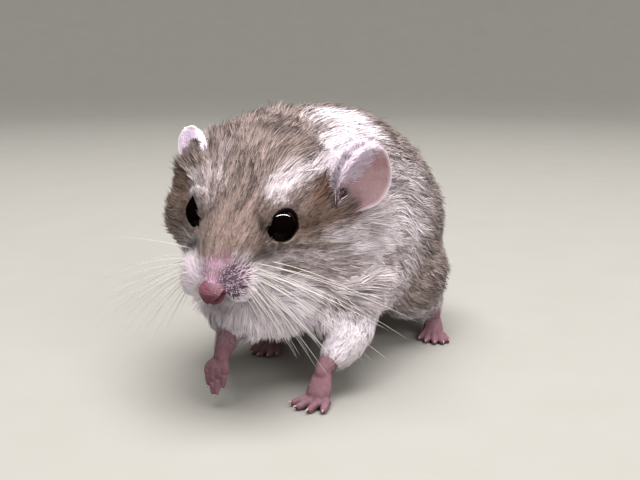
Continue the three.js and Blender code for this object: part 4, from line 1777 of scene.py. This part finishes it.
@dataclass
class Whiskers:
    """Long white whiskers in rows on each pad, with short ones ahead and a few over the eyes."""

    rows: int = 5
    columns: int = 6
    thick: float = 0.15
    pad: tuple = (3.9, 6.4, -1.5)
    pad_size: tuple = (2.5, 4.6, 3.1)
    reach: tuple = (7.0, 31.0)
    back: tuple = (-30.0, 16.0)
    tilt: tuple = (-6.0, -50.0)
    sag: float = 0.22
    over_eye: int = 3  # short ones over each eye

    def one(self, root: Array, way: Array, length: float, sag: float, thick: float) -> Form:
        """A single bent, tapering hair.

        Args:
            root: Where it grows, in the head's frame.
            way: Its first direction.
            length: Its length.
            sag: How far it droops, as a share of its length.
            thick: Its thickness at the root.

        Returns:
            The form, in the body's frame.
        """
        t = np.array([0.0, 0.25, 0.5, 0.75, 1.0])
        line = root + way * (length * t)[:, None]
        line[:, 2] -= sag * length * t**2
        radii = thick / 2 * np.array([1.0, 0.85, 0.65, 0.42, 0.16])
        form = tube(HEAD.outside(line), radii, around=6, steps=12)
        form.points[:, 2] = np.maximum(form.points[:, 2], 0.1)
        form.values = {"along": np.repeat(np.linspace(0, 1, 13), 6)}
        return form

    def of_pad(self, row: int, column: int, mirror: Array, draw: np.random.Generator) -> Form:
        """One whisker of a pad.

        Args:
            row: Counted from the top.
            column: Counted from the front.
            mirror: Turns the left side into the wanted one.
            draw: The side's random draw.

        Returns:
            The form, in the body's frame.
        """
        low, rear = row / (self.rows - 1), column / (self.columns - 1)
        length = np.interp(rear**0.6, [0, 1], self.reach) * draw.uniform(0.75, 1.06)
        length = length * (1 - 0.45 * abs(low - 0.45))
        turn = math.radians(np.interp(rear, [0, 1], self.back) + 5 * draw.normal())
        tilt = math.radians(np.interp(low, [0, 1], self.tilt) + 5 * draw.normal())
        way = np.array([math.cos(turn) * math.cos(tilt), math.sin(turn) * math.cos(tilt), math.sin(tilt)])
        spot = np.array([0.0, (rear - 0.5) * 5.6, (0.5 - low) * 3.6])
        flat = 1 - (spot[1] / self.pad_size[1]) ** 2 - (spot[2] / self.pad_size[2]) ** 2
        spot[0] = self.pad_size[0] * math.sqrt(max(flat, 0.05)) - 0.5
        root = (np.array(self.pad) + spot) * mirror
        sag = self.sag * draw.uniform(0.5, 1.5)
        return self.one(root, way * mirror, length, sag, self.thick * (0.7 + 0.3 * rear))

    def of_brow(self, k: int, mirror: Array) -> Form:
        """One of the short whiskers over an eye, counted from the front."""
        root = np.array([5.6 + 0.9 * k, 15.5 + 1.2 * k, 6.4]) * mirror
        way = unit(np.array([0.5, -0.1 + 0.25 * k, 0.85])) * mirror
        return self.one(root, way, 5.0 + 1.2 * k, 0.1, 0.05)

    def build(self, finishes: Finishes) -> None:
        """Makes all whiskers of each side as one piece.

        Args:
            finishes: The shared finishes.
        """
        for side in Side:
            draw = np.random.default_rng(SEED + 60 + side.value)
            mirror = np.array([side.value, 1, 1])
            places = [(row, column) for row in range(self.rows) for column in range(self.columns)]
            hairs = [self.of_pad(row, column, mirror, draw) for row, column in places]
            hairs += [self.of_brow(k, mirror) for k in range(self.over_eye)]
            dress(Form.joined(hairs), f"whiskers_{side.word}", finishes.whisker, "pale_coat")


# The limbs


@dataclass
class Paws:
    """Small bare feet with spread toes, short claws and thinly haired wrists.

    Pairs name the value of a foot that stands first, and of one that hangs second.
    """

    voxel: float = 0.17
    hairs: int = 2200  # on each foot
    narrow: tuple = (0.9, 0.8)  # how close the toes stand, as a share of their solids
    long: tuple = (1.06, 1.36)  # and how long they are
    slim: tuple = (1.0, 0.74)  # how wide the sole is
    thick: tuple = ((0.8, 0.88, 0.74, 0.7, 0.5), (0.8, 0.8, 0.66, 0.52, 0.3))

    def toe(self, leg: Leg, k: int) -> tuple[Form, Form]:
        """One toe and its claw.

        Args:
            leg: The leg that it ends.
            k: Which toe, counted from the animal's right.

        Returns:
            The toe's form, and the claw's form.
        """
        place = k - (leg.toes - 1) / 2
        heading, dip = math.radians(leg.turn + place * leg.spread), math.radians(leg.curl)
        run = -math.cos(heading)
        ahead = np.array([math.sin(heading), run * math.cos(dip), run * math.sin(dip)])
        across = np.array([1.0, 0.0, 0.0]) if leg.hangs else np.cross(ahead, UP)
        over = unit(np.cross(across, ahead))
        over = over * np.sign(-over[1] if leg.hangs else over[2])
        length = self.long[leg.hangs] * leg.toe * (1 - leg.fade * place**2)
        base = leg.ball + np.array([place * leg.pitch * self.narrow[leg.hangs], 0, 0])
        # Along the toe: root, knuckle, hollow behind the pad, pad and tip
        along = np.array([-0.55, 0.0, 0.45, 0.8, 1.0]) * length
        lift = np.array([0.0, 0.3, 0.2, -0.1, -0.2])
        line = base + ahead * along[:, None] + over * lift[:, None]
        if leg.hangs:
            # Hanging toes fan out from the wrist.
            line[0] = blend(leg.heel, base, 0.4)
        reach = np.array([-0.3, 0.15, 0.45, 0.65]) * (0.5 if leg.hangs else 1.0)
        nail = base + ahead * (length + reach)[:, None]
        nail = nail + over * np.array([0.1, 0.2, 0.1, -0.1])[:, None]
        claw = tube(nail, [0.18, 0.16, 0.1, 0.03], around=8, steps=8)
        claw.values = {"along": np.repeat(np.linspace(0, 1, 9), 8)}
        return tube(line, self.thick[leg.hangs], around=12, steps=16), claw

    def foot(self, leg: Leg) -> tuple[Form, Form]:
        """One lower leg with its foot, and its claws.

        Args:
            leg: Which leg.

        Returns:
            The skin's form, and the claws' form.
        """
        toes, claws = zip(*(self.toe(leg, k) for k in range(leg.toes)))
        heel, knee, front, slim = leg.heel, leg.knee, leg.ball, self.slim[leg.hangs]
        tip = front + unit(front - heel) * 0.6 * slim
        sole = tube(
            [heel + unit(knee - heel) * 2.6, heel, blend(heel, front, 0.6), tip],
            [1.0, 1.6 * slim**0.5, leg.half * 0.84 * slim, leg.half * 0.72 * slim**2],
            around=20, steps=24, flat=0.55,
        )
        shank = tube(
            [blend(knee, heel, 0.05), blend(knee, heel, 0.55), heel, heel + unit(front - heel) * 1.4],
            [2.5, 2.0, 1.6, 1.3], around=16, steps=20,
        )
        form = Form.joined([sole, shank, *toes]).remeshed(self.voxel)
        form.relax(6)
        form.points[:, 2] = np.maximum(form.points[:, 2], 0.0)
        # Skin that faces up is painted paler, as painted light from above; the blotches are the skin's own
        form.values = {
            "tone": 0.35 * smooth(form.normals()[:, 2], 0.2, 0.9) + 0.2 * ripple(form.points, 1.6, 9).clip(0, 1),
            "dusk": np.zeros(len(form.points)),
        }
        nails = Form.joined(list(claws))
        nails.points[:, 2] = np.maximum(nails.points[:, 2], 0.02)
        return form, nails

    def down(self, coat: Coat, leg: Leg, form: Form) -> Form:
        """Short hair over the wrist and the back of the foot.

        Args:
            coat: Combs the hair.
            leg: Which leg.
            form: The leg's skin.

        Returns:
            The tufts.
        """
        draw = np.random.default_rng(SEED + 70 + 4 * leg.side.value)
        n, out = self.hairs, form.normals()
        heel, knee, front = leg.heel, leg.knee, leg.ball
        up = np.clip((form.points - heel) @ unit(knee - heel) / np.linalg.norm(knee - heel), 0, 1)
        weight = (0.03 + up) * (form.points[:, 2] > 0.5) * np.where(up > 0, 1.0, smooth(out[:, 2], 0.0, 0.5))
        picked = draw.choice(len(form.points), n, p=weight / weight.sum())
        p, o, up = form.points[picked], out[picked], up[picked]
        way = blend(unit(front - heel), unit(heel - knee), smooth(up, 0, 0.3)[:, None])
        lie = unit(way - o * (way * o).sum(axis=1, keepdims=True) + 0.12 * draw.normal(size=p.shape))
        masks = {"white": 0.15 + 0.7 * up, "warm": np.zeros(n), "dark": np.zeros(n), "bare": 1.6 - up}
        uv = np.column_stack([(np.arctan2(o[:, 0], o[:, 1]) / (2 * math.pi)) + 0.5, 0.1 + 0.8 * up])
        roots = Roots(p, o, lie, 0.6 + 2.0 * up, 0.022 + 0.04 * up, np.full(n, 15.0), np.full(n, 0.5), uv, masks)
        return coat.tufts(roots, SEED + 80)

    def build(self, finishes: Finishes, coat: Coat) -> None:
        """Makes the four feet.

        Args:
            finishes: The shared finishes.
            coat: Combs their hair.
        """
        for leg in LEGS:
            name = f"{leg.node}paw_{leg.side.word}"
            form, nails = self.foot(leg)
            dress(form, f"{leg.node}foot_{leg.side.word}", finishes.paw, "paw_skin", name)
            dress(nails, f"{leg.node}claws_{leg.side.word}", finishes.claw, "paw_skin")
            dress(self.down(coat, leg, form), f"{leg.node}foot_down_{leg.side.word}", finishes.fur, "pale_coat")


@dataclass
class Tail:
    """A short bare club of a tail, ringed, with a scatter of fine hairs."""

    stations: tuple = (
        (-4.5, 42, 16, 3.3), (-4, 50, 9.8, 3.8), (-5.5, 57.5, 5.6, 4.7),
        (-10, 65, 5.1, 5.1), (-18, 70, 4.2, 4.4), (-25.5, 71.5, 2.7, 2.6),
    )
    ring: float = 0.95  # distance between the rings of scales
    along: float = 46.0  # the length that they are counted over
    groove: float = 0.085  # how high they stand
    hairs: int = 2600

    def build(self, finishes: Finishes, coat: Coat) -> None:
        """Makes the tail.

        Args:
            finishes: The shared finishes.
            coat: Combs its hair.
        """
        around, steps = 72, 260
        rows = np.array(self.stations, dtype=float)
        form = tube(rows[:, :3], rows[:, 3], around=around, steps=steps)
        t = np.repeat(np.linspace(0, 1, steps + 1), around)
        out = form.normals()
        wave = np.sin(2 * math.pi * t * self.along / self.ring + 0.8 * ripple(form.points, 3.0, 12))
        form.points = form.points + out * (self.groove * wave)[:, None]
        form.points[:, 2] = np.maximum(form.points[:, 2], 0.0)
        # The rings are painted paler on their crests and darker in their grooves, as painted light and shade; the
        # grime is dirt in random blotches
        grime = ripple(form.points, 5.0, 14).clip(0, 1)
        form.values = {"tone": np.clip(0.3 * wave, 0, 1), "dusk": np.clip(0.3 * grime - 0.16 * wave, 0, 1)}
        dress(form, "tail_club", finishes.tail, "tail_skin", "tail")
        draw = np.random.default_rng(SEED + 90)
        n = self.hairs
        picked = draw.choice(np.flatnonzero(form.points[:, 2] > 0.6), n)
        p, o = form.points[picked], out[picked]
        ahead = unit(spline(rows[:, :3], t[picked] + 0.01) - spline(rows[:, :3], t[picked] - 0.01))
        values = {"white": 0.6, "warm": 0.1, "dark": 0.0, "bare": 0.6}
        masks = {key: np.full(n, value) for key, value in values.items()}
        uv = np.column_stack([(picked % around) / around, t[picked]])
        width, lift, gather = (np.full(n, value) for value in (0.03, 16.0, 0.3))
        roots = Roots(p, o, laid(ahead, o), draw.uniform(0.9, 1.7, n), width, lift, gather, uv, masks)
        dress(coat.tufts(roots, SEED + 91), "tail_down", finishes.fur, "tail_skin")


# The studio


@dataclass(frozen=True)
class SoftLight:
    """One soft rectangular light, which looks at the animal unless its long side is given."""

    name: str
    at: tuple  # in metres, as its size
    size: tuple
    power: float  # in watts
    colour: str
    glossy: bool = False  # whether wet surfaces show it
    diffuse: bool = True  # whether dull ones do
    long_side: tuple = ()
    only: tuple = ()  # the pieces that receive it, or none for all

    def hang(self) -> None:
        """Adds the light to the scene."""
        lamp = bpy.data.lights.new(self.name, "AREA")
        lamp.shape = "RECTANGLE"
        lamp.size, lamp.size_y = self.size
        lamp.energy = self.power
        lamp.color = linear(self.colour)[:3]
        made = bpy.data.objects.new(self.name, lamp)
        made.location = self.at
        turn = (Vector((0, -0.01, 0.025)) - Vector(self.at)).to_track_quat("-Z", "Y")
        if self.long_side:
            turn = Vector(self.long_side).to_track_quat("X", "Z")
        made.rotation_euler = turn.to_euler()
        made.visible_glossy = self.glossy
        made.visible_diffuse = self.diffuse
        bpy.context.scene.collection.objects.link(made)
        if self.only:
            lit = bpy.data.collections.new(f"{self.name}_receivers")
            for piece in self.only:
                lit.objects.link(bpy.data.objects[piece])
            made.light_linking.receiver_collection = lit


@dataclass
class Studio:
    """A pale floor that curves up into a backdrop, soft lights and the camera."""

    eye: tuple = (75.1, -165.8, 64.0)
    azimuth: float = 25.0
    pitch: float = 12.0
    focal: float = 924.0  # in pixels of a frame as wide as the photo
    frame_width: float = 640.0
    sensor: float = 36.0
    paper: tuple = ("#a3a19b", "#a8a6a1")
    room: str = "#e9ecef"
    room_strength: float = 0.3
    lights: tuple = (
        SoftLight("overhead", (0.05, -0.08, 0.8), (0.7, 0.7), 13.5, "#fffdfb"),
        SoftLight("window", (0.7, -0.45, 0.5), (0.5, 0.5), 4.2, "#fffdfc"),
        # A slim light over the head that eyes and nose alone receive, for the thin bright arc in each eye
        SoftLight("catch_light", (0.164, -0.043, 0.316), (0.5, 0.018), 6.0, "#ffffff", glossy=True, diffuse=False,
                  long_side=(0.254, 0.451, -0.138), only=("eyeball_left", "eyeball_right", "nose_pad")),
        # A light that the far ear alone receives, so that its thin leaf seems to glow
        SoftLight("ear_lamp", (-0.25, -0.35, 0.2), (0.3, 0.3), 1.9, "#f8f2ff",
                  only=("ear_shell_right", "ear_down_right")),
    )

    def floor(self) -> None:
        """A plain pale floor that curves up all round, as in a light tent."""
        around = 128
        out = np.array([0.0, 200, 450, 700, 900, 1050, 1150, 1200, 1215, 1220])
        rise = np.array([0.0, 0, 0, 0, 25, 100, 230, 450, 900, 1700])
        line = spline(np.column_stack([out, rise]), np.linspace(0, 1, 64))
        angle = np.linspace(0, 2 * math.pi, around, endpoint=False)
        ring = np.stack([np.cos(angle), np.sin(angle)], axis=1)
        points = np.concatenate(
            [np.column_stack([ring * max(r, 0.01), np.full(around, max(z, 0.0))]) for r, z in line[::-1]]
        )
        made = Form(points, ring_faces(around, len(line), capped=False)[:, ::-1]).piece("studio_floor")
        finish = Finish("studio_paper", roughness=0.85, specular=0.2)
        paper, tree = finish.start()
        place = add_node(tree, "ShaderNodeTexCoord").outputs["Object"]
        fibre = add_node(tree, "ShaderNodeTexNoise", {"Vector": place, "Scale": 60.0}).outputs["Fac"]
        inputs = {"Fac": fibre, "Color1": linear(self.paper[0]), "Color2": linear(self.paper[1])}
        finish.surface(tree, {"Base Color": add_node(tree, "ShaderNodeMixRGB", inputs).outputs["Color"]})
        made.data.materials.append(paper)
        made.visible_glossy = False

    def build(self) -> None:
        """Sets up floor, lights, world and camera."""
        scene = bpy.context.scene
        self.floor()
        for light in self.lights:
            light.hang()
        world = bpy.data.worlds.new("soft_room")
        world.use_nodes = True
        inputs = world.node_tree.nodes["Background"].inputs
        inputs["Color"].default_value = linear(self.room)
        inputs["Strength"].default_value = self.room_strength
        world.cycles_visibility.glossy = False
        scene.world = world
        scene.view_settings.view_transform = "Standard"
        lens = bpy.data.cameras.new("photo_view")
        lens.sensor_width = self.sensor
        lens.lens = self.focal / self.frame_width * self.sensor
        lens.clip_start, lens.clip_end = 0.005, 10.0
        camera = bpy.data.objects.new("photo_view", lens)
        camera.location = (np.array(self.eye) + SHIFT) * MM
        camera.rotation_euler = (math.radians(90 - self.pitch), 0.0, math.radians(self.azimuth))
        scene.collection.objects.link(camera)
        scene.camera = camera


def main() -> None:
    """Builds the animal's skin, coat and details in order, then the studio."""
    logging.basicConfig(level=logging.INFO, format="%(message)s")
    finishes = Finishes.made()
    skin = Skin()
    skin.build(finishes)
    coat = Coat(skin)
    coat.build(finishes)
    Eyes().build(finishes)
    Nose().build(finishes)
    Ears().build(finishes, coat)
    Whiskers().build(finishes)
    Paws().build(finishes, coat)
    Tail().build(finishes, coat)
    Studio().build()


if __name__ == "__main__":
    main()
